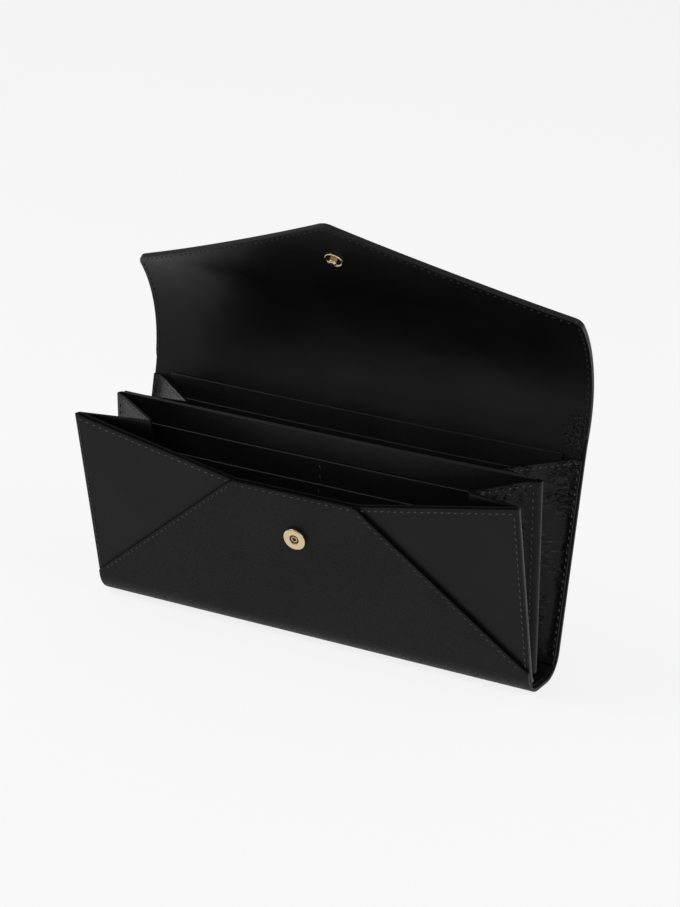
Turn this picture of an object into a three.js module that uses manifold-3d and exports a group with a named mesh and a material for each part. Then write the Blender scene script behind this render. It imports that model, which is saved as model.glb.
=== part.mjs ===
// An accordion envelope wallet: one long leather shell folded from front to back, two bellows side panels, a card
// divider, card rows along the back wall, and a pointed flap with a brass snap. The wallet stands open on its bottom.
// Millimetres. X runs along the wallet, Y from front to back and Z up, with the ground at Z = 0.
import * as THREE from 'three';
import { mergeVertices } from 'three/addons/utils/BufferGeometryUtils.js';
import Module from 'manifold-3d';

const wasm = await Module();
wasm.setup();

// Overall size and stance
const wallet_width = 200;
const front_lean = THREE.MathUtils.degToRad(15.7);
const back_lean = THREE.MathUtils.degToRad(8.1);
const divider_lean = THREE.MathUtils.degToRad(6);
const bottom_bend = 7.5;
const bottom_flat_front = 7.5;
const bottom_flat_back = 7.5;
const corner_height = 86;
const hinge_height = 93.4;

// Leather thicknesses and the air between two layers
const outer_leather = 1.4;
const bellows_leather = 1;
const lining_leather = 0.8;
const layer_gap = 0.3;

// Front centre panel: a trapezoid that laps over the two side panels
const panel_top_half = 28;
const panel_top_height = 70.9;
const seam_foot_height = 10.9;
const seam_lap = 7;

// Bellows
const bellows_bottom = 8.5;
const fold_half = 72;
const front_fold_share = 0.5;
const front_fold_top = { y: -28.6, height: 86.4 };
const rear_fold_share = 0.45;
const rear_fold_top = { y: -2.1, height: 88.6 };
const pleat_half = 96.5;
const pleat_flat = 5;
const pleat_top = 89.2;
const flange_width = 6;
const flange_top = 89;

// Card divider in the middle pleat
const divider_top = 90.2;
const divider_bottom = 10;
const divider_row_tops = [79.6, 69.2];
const divider_row_depth = 57;
const divider_row_margin = 1;

// Pocket and card rows along the back wall
const slip_pocket_top = 90.3;
const rear_row_tops = [81.2, 70.7];
const rear_row_bottom = 10;

// Flap: its side view is a bend and a straight tip
const flap_fold_lean = THREE.MathUtils.degToRad(12);
const flap_tip_lean = THREE.MathUtils.degToRad(-42);
const flap_bend = 59.5;
const flap_tip_length = 41.8;
const flap_corner_round = 7;
const flap_point_round = 7;
const flap_bend_steps = 28;

// The largest angle that the fold at the flap opens or closes through, and the air between its two rounded ends
const fold_swing = THREE.MathUtils.degToRad(80);
const fold_air = 0.12;

// Brass snap
const socket_height = 49.2;
const socket_radius = 4.9;
const socket_thickness = 1.9;
const socket_rim_round = 0.5;
const socket_bore = 2.1;
const socket_bore_depth = 1.2;
const spring_wire = 0.22;
const stud_from_point = 20;
const stud_flange_radius = 4;
const stud_flange_thickness = 0.7;
const stud_post_radius = 1.75;
const stud_post_height = 1.8;
const stud_neck_radius = 1.5;
const stud_neck_height = 0.5;
const stud_bulge_start = 0.9;
const stud_bulge_end = 1.3;
const stud_tip_radius = 1.2;
const stud_tip_round = 0.15;
const barrel_radius = 1.4;
const barrel_clearance = 0.3;
const backing_radius = 4.4;
const backing_thickness = 0.6;
const cap_radius = 6;
const cap_height = 1.8;
const cap_rim = 0.5;
const cap_dome_steps = 8;

const half_width = wallet_width / 2;
const arc_steps = 8;
const lathe_steps = 40;

const leather_black = new THREE.MeshStandardMaterial({ color: 0x1f1f20, roughness: 0.6, metalness: 0 });
const leather_lining = new THREE.MeshStandardMaterial({ color: 0x2a2a2b, roughness: 0.65, metalness: 0 });
const brass = new THREE.MeshStandardMaterial({ color: 0xc7ab78, roughness: 0.3, metalness: 1 });

// One wall of the U-shaped body: the centre of its bottom bend, its outward normal and its upward direction
function makeWall(side, lean, flat) {
  return {
    centre: new THREE.Vector2(side * flat, bottom_bend),
    normal: new THREE.Vector2(side * Math.cos(lean), -Math.sin(lean)),
    up: new THREE.Vector2(side * Math.sin(lean), Math.cos(lean)),
    lean,
    side,
  };
}

const front = makeWall(-1, front_lean, bottom_flat_front);
const back = makeWall(1, back_lean, bottom_flat_back);

// A point in the side view, a depth below the wall's outer face and a way up along the wall
function wallPoint(wall, depth, rise) {
  const out = wall.normal.clone().multiplyScalar(bottom_bend - depth);
  return wall.centre.clone().add(out).addScaledVector(wall.up, rise);
}

// The way up along the wall at which its outer face reaches a height
function riseAt(wall, height) {
  return (height - wallPoint(wall, 0, 0).y) / wall.up.y;
}

// The wall's Y at a depth below its outer face and a height above the ground
function wallY(wall, depth, height) {
  const foot = wallPoint(wall, depth, 0);
  return foot.x + (height - foot.y) * wall.up.x / wall.up.y;
}

// A wall's bottom bend for a layer: from the wall's foot down to the floor, as points of an arc
function bendPoints(wall, depth, floor) {
  const radius = bottom_bend - depth;
  const z = floor + radius;
  const y = wall.centre.x + (z - wall.centre.y) * Math.sin(wall.lean) / (wall.side * Math.cos(wall.lean));
  const start = wall.normal.angle();
  const end = 1.5 * Math.PI;
  const points = [];
  for (let i = 0; i <= arc_steps; i += 1) {
    const angle = start + (end - start) * i / arc_steps;
    points.push(new THREE.Vector2(y + radius * Math.cos(angle), z + radius * Math.sin(angle)));
  }
  return points;
}

// Closed solids for joining and cutting
function toSolid(geometry) {
  const bare = geometry.clone();
  bare.deleteAttribute('normal');
  bare.deleteAttribute('uv');
  const merged = mergeVertices(bare, 1e-4);
  return new wasm.Manifold(new wasm.Mesh({
    numProp: 3,
    vertProperties: new Float32Array(merged.attributes.position.array),
    triVerts: new Uint32Array(merged.index.array),
  }));
}

function toGeometry(solid) {
  const mesh = solid.getMesh();
  const geometry = new THREE.BufferGeometry();
  geometry.setAttribute('position', new THREE.BufferAttribute(mesh.vertProperties, 3));
  geometry.setIndex(new THREE.BufferAttribute(mesh.triVerts, 1));
  geometry.computeVertexNormals();
  return geometry;
}

// A side-view outline (Y, Z) drawn out along X, centred on X = 0
function drawnAlongWidth(outline, half) {
  const geometry = new THREE.ExtrudeGeometry(new THREE.Shape(outline), { depth: 2 * half, bevelEnabled: false });
  const basis = new THREE.Matrix4().makeBasis(
    new THREE.Vector3(0, 1, 0),
    new THREE.Vector3(0, 0, 1),
    new THREE.Vector3(1, 0, 0),
  );
  return geometry.applyMatrix4(basis.setPosition(-half, 0, 0));
}

// A plate lying on a slanting plane: its outline is (X, way up the plane), and it is drawn along the plane's normal
function plateOnPlane(shape, origin, up, thickness) {
  const geometry = new THREE.ExtrudeGeometry(shape, { depth: thickness, bevelEnabled: false, curveSegments: 10 });
  const basis = new THREE.Matrix4().makeBasis(
    new THREE.Vector3(1, 0, 0),
    new THREE.Vector3(0, up.x, up.y),
    new THREE.Vector3(0, -up.y, up.x),
  );
  return geometry.applyMatrix4(basis.setPosition(0, origin.x, origin.y));
}

// A flat sheet on a wall, between two depths below the wall's outer face
function sheetOnWall(wall, depth, thickness, shape) {
  const far_depth = wall.side < 0 ? depth + thickness : depth;
  return plateOnPlane(shape, wallPoint(wall, far_depth, 0), wall.up, thickness);
}

function rectangle(half, low, high) {
  return new THREE.Shape([
    new THREE.Vector2(-half, low),
    new THREE.Vector2(half, low),
    new THREE.Vector2(half, high),
    new THREE.Vector2(-half, high),
  ]);
}

// The same body on the other side of X = 0, with its faces turned back out
function mirrored(geometry) {
  const copy = geometry.clone().scale(-1, 1, 1);
  const index = copy.index.array;
  for (let i = 0; i < index.length; i += 3) {
    [index[i], index[i + 1]] = [index[i + 1], index[i]];
  }
  copy.computeVertexNormals();
  return copy;
}

// A turned piece whose axis points out of a surface
function turnedPiece(profile, origin, normal, steps = lathe_steps) {
  const geometry = new THREE.LatheGeometry(profile.map(([r, h]) => new THREE.Vector2(r, h)), steps);
  const up = new THREE.Vector3(0, 1, 0);
  geometry.applyQuaternion(new THREE.Quaternion().setFromUnitVectors(up, new THREE.Vector3(0, normal.x, normal.y)));
  return geometry.translate(0, origin.x, origin.y);
}

// The leather at the fold: outer leather and lining with the air between them
const fold_stack = outer_leather + layer_gap + lining_leather;
const fold_round = fold_stack / 2;
const fold_setback = (fold_round + fold_air / 2) / Math.cos(fold_swing / 2);
const hinge_rise = riseAt(back, hinge_height);
const hinge = wallPoint(back, fold_round, hinge_rise);

// How far a rounded end reaches towards the fold at a place in the stack, measured from the round's centre
function roundedReach(depth) {
  const across = depth - fold_round;
  return Math.sqrt(Math.max(0, fold_round * fold_round - across * across));
}

function depthsAcross(near, far) {
  const depths = [];
  for (let i = 0; i <= arc_steps; i += 1) {
    depths.push(near + (far - near) * i / arc_steps);
  }
  return depths;
}

// The U-shaped outline of a layer that runs down the front wall, under the bottom and up the back wall to the fold
function bodyLayer(front_depth, floor, back_depth, thickness, front_rise) {
  const end_centre = hinge_rise - fold_setback;
  const outer = [
    wallPoint(front, front_depth, front_rise),
    ...bendPoints(front, front_depth, floor),
    ...bendPoints(back, back_depth, floor).reverse(),
  ];
  const inner = [
    ...bendPoints(back, back_depth + thickness, floor + thickness),
    ...bendPoints(front, front_depth + thickness, floor + thickness).reverse(),
    wallPoint(front, front_depth + thickness, front_rise),
  ];
  const end = depthsAcross(back_depth, back_depth + thickness).map(
    (depth) => wallPoint(back, depth, end_centre + roundedReach(depth)),
  );
  return drawnAlongWidth([...outer, ...end, ...inner], half_width);
}

// A hole through the front wall for the snap's barrel
const socket_rise = riseAt(front, socket_height);

function frontBarrelHole() {
  const reach = 3 * fold_stack;
  const radius = barrel_radius + barrel_clearance;
  const profile = [[0, -reach], [radius, -reach], [radius, reach], [0, reach]];
  return toSolid(turnedPiece(profile, wallPoint(front, 0, socket_rise), front.normal));
}

// Everything on the front wall that lies outside the centre panel's slanting seams, on the +X side
const panel_top_rise = riseAt(front, panel_top_height);
const corner_rise = riseAt(front, corner_height);
const seam_foot_rise = riseAt(front, seam_foot_height);

function outsideSeam() {
  const over = bottom_bend;
  const shape = new THREE.Shape([
    new THREE.Vector2(panel_top_half, panel_top_rise + over),
    new THREE.Vector2(panel_top_half, panel_top_rise),
    new THREE.Vector2(half_width, seam_foot_rise),
    new THREE.Vector2(half_width + over, seam_foot_rise),
    new THREE.Vector2(half_width + over, panel_top_rise + over),
  ]);
  return sheetOnWall(front, -outer_leather, 3 * outer_leather, shape);
}

function makeOuterShell() {
  const sheet = toSolid(bodyLayer(0, 0, 0, outer_leather, panel_top_rise));
  const right = outsideSeam();
  const cut = sheet.subtract(toSolid(right)).subtract(toSolid(mirrored(mergeVertices(right))));
  return toGeometry(cut.subtract(frontBarrelHole()));
}

// Layers of the front wall, from the outside: centre panel, side panel, lining, first leg of the bellows
const side_panel_depth = outer_leather + layer_gap;
const front_lining_depth = side_panel_depth + bellows_leather + layer_gap;
const first_leg_depth = front_lining_depth + lining_leather + layer_gap + bellows_leather / 2;

// What the V-shaped mouth takes away from the front lining, above its top edge
function aboveMouth(drop) {
  const over = corner_rise;
  const shape = new THREE.Shape([
    new THREE.Vector2(-half_width - drop, corner_rise - drop),
    new THREE.Vector2(-panel_top_half, panel_top_rise - drop),
    new THREE.Vector2(panel_top_half, panel_top_rise - drop),
    new THREE.Vector2(half_width + drop, corner_rise - drop),
    new THREE.Vector2(half_width + drop, corner_rise + over),
    new THREE.Vector2(-half_width - drop, corner_rise + over),
  ]);
  return sheetOnWall(front, front_lining_depth - layer_gap, lining_leather + 2 * layer_gap, shape);
}

function makeBodyLining() {
  const floor = outer_leather + layer_gap;
  const back_depth = outer_leather + layer_gap;
  const layer = toSolid(bodyLayer(front_lining_depth, floor, back_depth, lining_leather, corner_rise));
  const hem = layer_gap;
  const tuck = bellows_leather + layer_gap;
  const trimmed = layer.subtract(toSolid(aboveMouth(hem)));
  const keep = drawnAlongWidth([
    new THREE.Vector2(-wallet_width, -bottom_bend),
    new THREE.Vector2(wallet_width, -bottom_bend),
    new THREE.Vector2(wallet_width, wallet_width),
    new THREE.Vector2(-wallet_width, wallet_width),
  ], half_width - tuck);
  return toGeometry(trimmed.intersect(toSolid(keep)).subtract(frontBarrelHole()));
}

// Layers of the back wall, from the outside: shell, lining, slip pocket, card rows, last leg of the bellows
const slip_pocket_depth = outer_leather + lining_leather + 2 * layer_gap;
const row_pitch = lining_leather + layer_gap;
const rear_rows_depth = slip_pocket_depth + row_pitch;
const last_leg_depth = rear_rows_depth + rear_row_tops.length * row_pitch + bellows_leather / 2;
const rear_row_half = half_width - bellows_leather - layer_gap;

function makeRearSheet(depth, top) {
  const shape = rectangle(rear_row_half, riseAt(back, rear_row_bottom), riseAt(back, top));
  return sheetOnWall(back, depth, lining_leather, shape);
}

// Layers of the divider, from its middle plane: two leaves, and the card rows on the front leaf
const leaf_near = layer_gap / 2;
const divider_rows_near = leaf_near + row_pitch;
const pleat_front = divider_rows_near + divider_row_tops.length * row_pitch + bellows_leather / 2;
const pleat_back = leaf_near + row_pitch + bellows_leather / 2;
const leaf_half = pleat_half - bellows_leather / 2 - layer_gap;

const divider_up = new THREE.Vector2(-Math.sin(divider_lean), Math.cos(divider_lean));
const divider_out = new THREE.Vector2(-divider_up.y, divider_up.x);

// A sheet of the divider, between two heights, a distance in front of its middle plane, or behind it if negative
function makeDividerSheet(near, half, bottom, top) {
  const shape = rectangle(half, bottom / divider_up.y, top / divider_up.y);
  return plateOnPlane(shape, divider_out.clone().multiplyScalar(near), divider_up, lining_leather);
}

// The Y of a place in front of the divider's middle plane, at a height above the ground
function dividerY(near, height) {
  return (divider_up.x * height + divider_out.x * near + divider_out.y * near * divider_up.x) / divider_up.y;
}

// The bellows seen from above at its foot (share 0) or its mouth (share 1), as the middle line of its leather: from
// the front corner in to the first fold, out to the middle pleat, in to the second fold and out to the back wall.
// Each point is X, Y and the height of the bellows there.
function bellowsLine(share) {
  const heightTo = (top) => bellows_bottom + (top - bellows_bottom) * share;
  const foot_front = wallY(front, first_leg_depth, bellows_bottom);
  const foot_back = wallY(back, last_leg_depth, bellows_bottom);
  const foot_pleat_front = dividerY(pleat_front, bellows_bottom);
  const foot_pleat_back = dividerY(-pleat_back, bellows_bottom);
  const fold_foot = foot_pleat_front + (foot_front - foot_pleat_front) * front_fold_share;
  const fold_rear_foot = foot_pleat_back + (foot_back - foot_pleat_back) * rear_fold_share;
  const edge = half_width - bellows_leather / 2;
  const at_front = heightTo(corner_height);
  const at_pleat = heightTo(pleat_top);
  const at_back = heightTo(flange_top);
  const panel = wallY(front, side_panel_depth + bellows_leather / 2, at_front);
  const leg_front = wallY(front, first_leg_depth, at_front);
  const leg_back = wallY(back, last_leg_depth, at_back);
  const before_pleat = dividerY(pleat_front, at_pleat);
  const behind_pleat = dividerY(-pleat_back, at_pleat);
  const front_fold_y = fold_foot + (front_fold_top.y - fold_foot) * share;
  const rear_fold_y = fold_rear_foot + (rear_fold_top.y - fold_rear_foot) * share;
  return [
    [edge - bellows_leather, panel, at_front],
    [edge, panel, at_front],
    [edge, leg_front, at_front],
    [fold_half, front_fold_y, heightTo(front_fold_top.height)],
    [pleat_half - pleat_flat, before_pleat, at_pleat],
    [pleat_half, before_pleat, at_pleat],
    [pleat_half, behind_pleat, at_pleat],
    [pleat_half - pleat_flat, behind_pleat, at_pleat],
    [fold_half, rear_fold_y, heightTo(rear_fold_top.height)],
    [edge - flange_width, leg_back, at_back],
    [edge, leg_back, at_back],
  ];
}

// A line moved sideways by a distance, with mitred corners
function offsetLine(line, distance) {
  return line.map((point, i) => {
    const before = line[Math.max(0, i - 1)];
    const after = line[Math.min(line.length - 1, i + 1)];
    const along_in = point.clone().sub(before);
    const along_out = after.clone().sub(point);
    const into = (i === 0 ? along_out : along_in).normalize();
    const out = (i === line.length - 1 ? into.clone() : along_out).normalize();
    const normal_in = new THREE.Vector2(-into.y, into.x);
    const normal_out = new THREE.Vector2(-out.y, out.x);
    const mitre = normal_in.clone().add(normal_out).normalize();
    return point.clone().addScaledVector(mitre, distance / mitre.dot(normal_in));
  });
}

// A closed body through two rings of as many points, one above the other
function loft(low_ring, high_ring) {
  const count = low_ring.length;
  const positions = [...low_ring, ...high_ring].flatMap((point) => [point.x, point.y, point.z]);
  const index = [];
  for (let i = 0; i < count; i += 1) {
    const next = (i + 1) % count;
    index.push(i, next, count + next, i, count + next, count + i);
  }
  const cap = high_ring.map((point) => new THREE.Vector2(point.x, point.y));
  THREE.ShapeUtils.triangulateShape(cap, []).forEach(([a, b, c]) => {
    index.push(count + a, count + b, count + c, a, c, b);
  });
  const geometry = new THREE.BufferGeometry();
  geometry.setAttribute('position', new THREE.Float32BufferAttribute(positions, 3));
  geometry.setIndex(index);
  return geometry;
}

// The bellows' leather at its foot or its mouth, as a closed ring that runs anticlockwise seen from above
function bellowsRing(share) {
  const line = bellowsLine(share);
  const flat = line.map(([x, y]) => new THREE.Vector2(x, y));
  const heights = line.map((point) => point[2]);
  const side = (distance) => offsetLine(flat, distance).map(
    (point, i) => new THREE.Vector3(point.x, point.y, heights[i]),
  );
  const ring = [...side(-bellows_leather / 2), ...side(bellows_leather / 2).reverse()];
  return THREE.ShapeUtils.isClockWise(ring) ? ring.reverse() : ring;
}

// One side panel: the triangle under the centre panel's seam, and the bellows that it folds round into
function makeSidePanel() {
  const edge = half_width - bellows_leather / 2;
  const slope = (corner_rise - panel_top_rise) / (half_width - panel_top_half);
  const triangle = new THREE.Shape([
    new THREE.Vector2(edge, riseAt(front, bellows_bottom)),
    new THREE.Vector2(edge, corner_rise - slope * bellows_leather / 2),
    new THREE.Vector2(panel_top_half, panel_top_rise),
    new THREE.Vector2(panel_top_half - seam_lap, panel_top_rise - seam_lap / 2),
    new THREE.Vector2(half_width - 2 * seam_lap, riseAt(front, bellows_bottom)),
  ]);
  const plate = toSolid(sheetOnWall(front, side_panel_depth, bellows_leather, triangle));
  const bellows = toSolid(loft(bellowsRing(0), bellowsRing(1)));
  return toGeometry(plate.add(bellows));
}

// The flap's middle line in the side view, from the fold to the point, and its direction there
const flap_bend_length = flap_bend * (flap_fold_lean - flap_tip_lean);
const flap_length = flap_bend_length + flap_tip_length;

function flapPoint(way, across) {
  const bent = Math.min(way, flap_bend_length);
  const lean = flap_fold_lean - bent / flap_bend;
  const straight = way - bent;
  const y = hinge.x + flap_bend * (Math.cos(lean) - Math.cos(flap_fold_lean)) + straight * Math.sin(lean);
  const z = hinge.y + flap_bend * (Math.sin(flap_fold_lean) - Math.sin(lean)) + straight * Math.cos(lean);
  return new THREE.Vector2(y + across * Math.cos(lean), z - across * Math.sin(lean));
}

const flap_tip_up = new THREE.Vector2(Math.sin(flap_tip_lean), Math.cos(flap_tip_lean));
const flap_tip_out = new THREE.Vector2(Math.cos(flap_tip_lean), -Math.sin(flap_tip_lean));

// The flap's outline past the bend: rounded corners, straight slopes and a rounded point
function flapTipShape() {
  const half = half_width;
  const tip = flap_tip_length;
  const slope = Math.atan2(tip, half);
  const corner_cut = flap_corner_round * Math.tan((Math.PI / 2 - slope) / 2);
  const point_cut = flap_point_round * Math.tan(slope);
  const shape = new THREE.Shape();
  shape.moveTo(half, -flap_tip_length);
  shape.lineTo(half, -corner_cut);
  shape.quadraticCurveTo(half, 0, half - corner_cut * Math.cos(slope), corner_cut * Math.sin(slope));
  shape.lineTo(point_cut * Math.cos(slope), tip - point_cut * Math.sin(slope));
  shape.quadraticCurveTo(0, tip, -point_cut * Math.cos(slope), tip - point_cut * Math.sin(slope));
  shape.lineTo(-half + corner_cut * Math.cos(slope), corner_cut * Math.sin(slope));
  shape.quadraticCurveTo(-half, 0, -half, -corner_cut);
  shape.lineTo(-half, -flap_tip_length);
  shape.closePath();
  return shape;
}

// A hole through the flap for the barrel of its snap
function flapBarrelHole() {
  const reach = 3 * fold_stack;
  const radius = barrel_radius + barrel_clearance;
  const profile = [[0, -reach], [radius, -reach], [radius, reach], [0, reach]];
  return toSolid(turnedPiece(profile, flapPoint(flap_length - stud_from_point, 0), flap_tip_out));
}

// One layer of the flap, between two places across its stack, counted from the stack's outer face
function makeFlapLayer(depth, thickness) {
  const ways = [];
  for (let i = 1; i <= flap_bend_steps; i += 1) {
    ways.push(fold_setback + (flap_bend_length - fold_setback) * i / flap_bend_steps);
  }
  ways.push(flap_length);
  const outer = ways.map((way) => flapPoint(way, fold_round - depth));
  const inner = ways.map((way) => flapPoint(way, fold_round - depth - thickness));
  const end = depthsAcross(depth + thickness, depth).map(
    (place) => flapPoint(fold_setback - roundedReach(place), fold_round - place),
  );
  const sheet = toSolid(drawnAlongWidth([...end, ...outer, ...inner.reverse()], half_width));
  const far_side = flap_bend * 2;
  const origin = flapPoint(flap_bend_length, far_side / 2);
  const tip_outline = toSolid(plateOnPlane(flapTipShape(), origin, flap_tip_up, far_side));
  const fold_side = toSolid(drawnAlongWidth([
    new THREE.Vector2(-wallet_width, 0),
    new THREE.Vector2(wallet_width, 0),
    new THREE.Vector2(wallet_width, flapPoint(flap_bend_length - flap_corner_round, 0).y),
    new THREE.Vector2(-wallet_width, flapPoint(flap_bend_length - flap_corner_round, 0).y),
  ], wallet_width));
  const whole = sheet.intersect(tip_outline).add(sheet.intersect(fold_side));
  return toGeometry(whole.subtract(flapBarrelHole()));
}

// The snap on the front: a flat ring-faced socket, a wire ring in its bore, and an eyelet that holds it from inside
function socketProfile() {
  const base = layer_gap;
  const top = base + socket_thickness;
  const floor = top - socket_bore_depth;
  const edge = socket_radius - socket_rim_round;
  return [
    [0, base],
    [edge, base],
    [socket_radius, base + socket_rim_round],
    [socket_radius, top - socket_rim_round],
    [socket_radius - socket_rim_round / 3, top - socket_rim_round / 3],
    [edge, top],
    [socket_bore + socket_rim_round / 2, top],
    [socket_bore, top - socket_rim_round / 2],
    [socket_bore, floor],
    [0, floor],
  ];
}

function makeSocketSpring() {
  const ring_radius = socket_bore - spring_wire - layer_gap / 2;
  const floor = layer_gap + socket_thickness - socket_bore_depth;
  const ring = new THREE.TorusGeometry(ring_radius, spring_wire, 8, 32);
  ring.rotateX(Math.PI / 2).translate(0, floor + spring_wire + layer_gap / 2, 0);
  const up = new THREE.Vector3(0, 1, 0);
  const normal = new THREE.Vector3(0, front.normal.x, front.normal.y);
  ring.applyQuaternion(new THREE.Quaternion().setFromUnitVectors(up, normal));
  const seat = wallPoint(front, 0, socket_rise);
  return ring.translate(0, seat.x, seat.y);
}

// A flanged rivet: a thin backing plate under the leather stack, and a barrel through it
function rivetProfile(stack, head_radius, head_thickness) {
  return [
    [0, -stack - layer_gap - head_thickness],
    [head_radius - head_thickness / 2, -stack - layer_gap - head_thickness],
    [head_radius, -stack - layer_gap - head_thickness / 2],
    [head_radius, -stack - layer_gap],
    [barrel_radius, -stack - layer_gap],
    [barrel_radius, 0],
    [0, 0],
  ];
}

function studProfile() {
  const base = layer_gap;
  const face = base + stud_flange_thickness;
  const top = face + stud_post_height;
  return [
    [0, base],
    [stud_flange_radius - stud_flange_thickness / 3, base],
    [stud_flange_radius, base + stud_flange_thickness / 3],
    [stud_flange_radius, face - stud_flange_thickness / 3],
    [stud_flange_radius - stud_flange_thickness / 3, face],
    [stud_neck_radius, face],
    [stud_neck_radius, face + stud_neck_height],
    [stud_post_radius, face + stud_bulge_start],
    [stud_post_radius, face + stud_bulge_end],
    [stud_neck_radius, top - stud_tip_round],
    [stud_tip_radius, top],
    [0, top],
  ];
}

// The cap on the flap's outer face: a low dome with a barrel through the flap
function capProfile() {
  const profile = [[0, -fold_stack], [barrel_radius, -fold_stack], [barrel_radius, layer_gap], [cap_radius, layer_gap]];
  for (let i = 0; i <= cap_dome_steps; i += 1) {
    const angle = (Math.PI / 2) * i / cap_dome_steps;
    profile.push([cap_radius * Math.cos(angle), layer_gap + cap_rim + (cap_height - cap_rim) * Math.sin(angle)]);
  }
  profile[profile.length - 1][0] = 0;
  return profile;
}

const wallet = new THREE.Group();

function addPiece(name, geometry, material) {
  const mesh = new THREE.Mesh(geometry, material);
  mesh.name = name;
  wallet.add(mesh);
}

function addBody() {
  addPiece('outer_shell', makeOuterShell(), leather_black);
  addPiece('body_lining', makeBodyLining(), leather_lining);
  const side_panel = makeSidePanel();
  addPiece('side_panel_right', side_panel, leather_black);
  addPiece('side_panel_left', mirrored(side_panel), leather_black);
}

function addRearPockets() {
  addPiece('rear_slip_pocket', makeRearSheet(slip_pocket_depth, slip_pocket_top), leather_lining);
  rear_row_tops.forEach((top, i) => {
    addPiece(`rear_card_row_${i + 1}`, makeRearSheet(rear_rows_depth + i * row_pitch, top), leather_lining);
  });
}

function addDivider() {
  const leaf = (near) => makeDividerSheet(near, leaf_half, divider_bottom, divider_top);
  addPiece('divider_leaf_front', leaf(leaf_near), leather_lining);
  addPiece('divider_leaf_back', leaf(-leaf_near - lining_leather), leather_lining);
  divider_row_tops.forEach((top, i) => {
    const near = divider_rows_near + i * row_pitch;
    const half = leaf_half - divider_row_margin;
    const row = makeDividerSheet(near, half, top - divider_row_depth, top);
    addPiece(`divider_card_row_${i + 1}`, row, leather_lining);
  });
}

function addFlap() {
  addPiece('flap_outer', makeFlapLayer(0, outer_leather), leather_black);
  addPiece('flap_lining', makeFlapLayer(outer_leather + layer_gap, lining_leather), leather_lining);
}

function addSnap() {
  const seat = wallPoint(front, 0, socket_rise);
  const front_stack = front_lining_depth + lining_leather;
  addPiece('snap_socket', turnedPiece(socketProfile(), seat, front.normal), brass);
  addPiece('snap_socket_spring', makeSocketSpring(), brass);
  const eyelet = rivetProfile(front_stack, backing_radius, backing_thickness);
  addPiece('snap_socket_eyelet', turnedPiece(eyelet, seat, front.normal), brass);
  const stud_way = flap_length - stud_from_point;
  const inward = flap_tip_out.clone().negate();
  addPiece('snap_stud', turnedPiece(studProfile(), flapPoint(stud_way, -fold_round), inward), brass);
  addPiece('snap_cap', turnedPiece(capProfile(), flapPoint(stud_way, fold_round), flap_tip_out), brass);
}

addBody();
addRearPockets();
addDivider();
addFlap();
addSnap();

export default wallet;
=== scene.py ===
"""Looks of an accordion envelope wallet in black grained leather with a brass press snap.

Sizes are in millimetres and become metres where a mesh is made. X runs along the wallet, Y from the front
panel to the back wall and Z up, with the ground at zero. Every leather piece is a surface of two parameters,
worked out as whole arrays, and gets its thickness and its rounded edges from Solidify and Bevel.
"""

import logging
import math
from collections.abc import Callable
from dataclasses import dataclass, field, fields
from enum import Enum

import bpy
import numpy as np
from mathutils import Matrix, Vector


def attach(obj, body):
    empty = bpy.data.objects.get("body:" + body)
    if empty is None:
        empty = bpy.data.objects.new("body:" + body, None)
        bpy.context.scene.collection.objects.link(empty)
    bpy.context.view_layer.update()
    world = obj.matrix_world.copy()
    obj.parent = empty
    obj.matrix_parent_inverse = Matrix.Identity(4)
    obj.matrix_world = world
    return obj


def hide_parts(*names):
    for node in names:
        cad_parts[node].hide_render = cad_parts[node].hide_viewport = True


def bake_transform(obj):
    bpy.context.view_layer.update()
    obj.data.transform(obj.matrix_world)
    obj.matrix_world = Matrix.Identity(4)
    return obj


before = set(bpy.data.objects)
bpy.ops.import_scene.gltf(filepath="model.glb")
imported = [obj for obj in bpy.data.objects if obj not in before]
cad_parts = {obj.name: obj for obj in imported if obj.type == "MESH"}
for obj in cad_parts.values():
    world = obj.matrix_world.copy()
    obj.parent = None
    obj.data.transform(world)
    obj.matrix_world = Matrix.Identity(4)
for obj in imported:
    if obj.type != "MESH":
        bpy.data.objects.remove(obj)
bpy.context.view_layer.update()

MM = 0.001
LOG = logging.getLogger("wallet")


class Side(Enum):
    """An end of the wallet, as the sign of its X."""

    LEFT = -1
    RIGHT = 1


class Slot(Enum):
    """The record's material slots."""

    SHELL = "shell_leather"
    LINING = "lining_leather"
    BRASS = "brass"


class NodeWriter:
    """Adds nodes to a shader tree and links them."""

    def __init__(self, tree: bpy.types.NodeTree) -> None:
        """Empty a tree.

        Args:
            tree: the tree of a material or a world.
        """
        self.tree = tree
        self.tree.nodes.clear()

    def add(self, kind: str, **values: object) -> bpy.types.Node:
        """Add a node and set its properties, or its sockets where the name is one.

        Args:
            kind: the node's type.
            **values: property or socket names with their values. An underscore in a socket's name stands for
                a space.

        Returns:
            The new node.
        """
        node = self.tree.nodes.new(kind)
        for key, value in values.items():
            if hasattr(node, key):
                setattr(node, key, value)
            else:
                node.inputs[key.replace("_", " ")].default_value = value
        return node

    def link(self, source: bpy.types.Node, out: str | int, target: bpy.types.Node, into: str | int) -> None:
        """Link one node's output to another's input."""
        self.tree.links.new(source.outputs[out], target.inputs[into])


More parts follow.
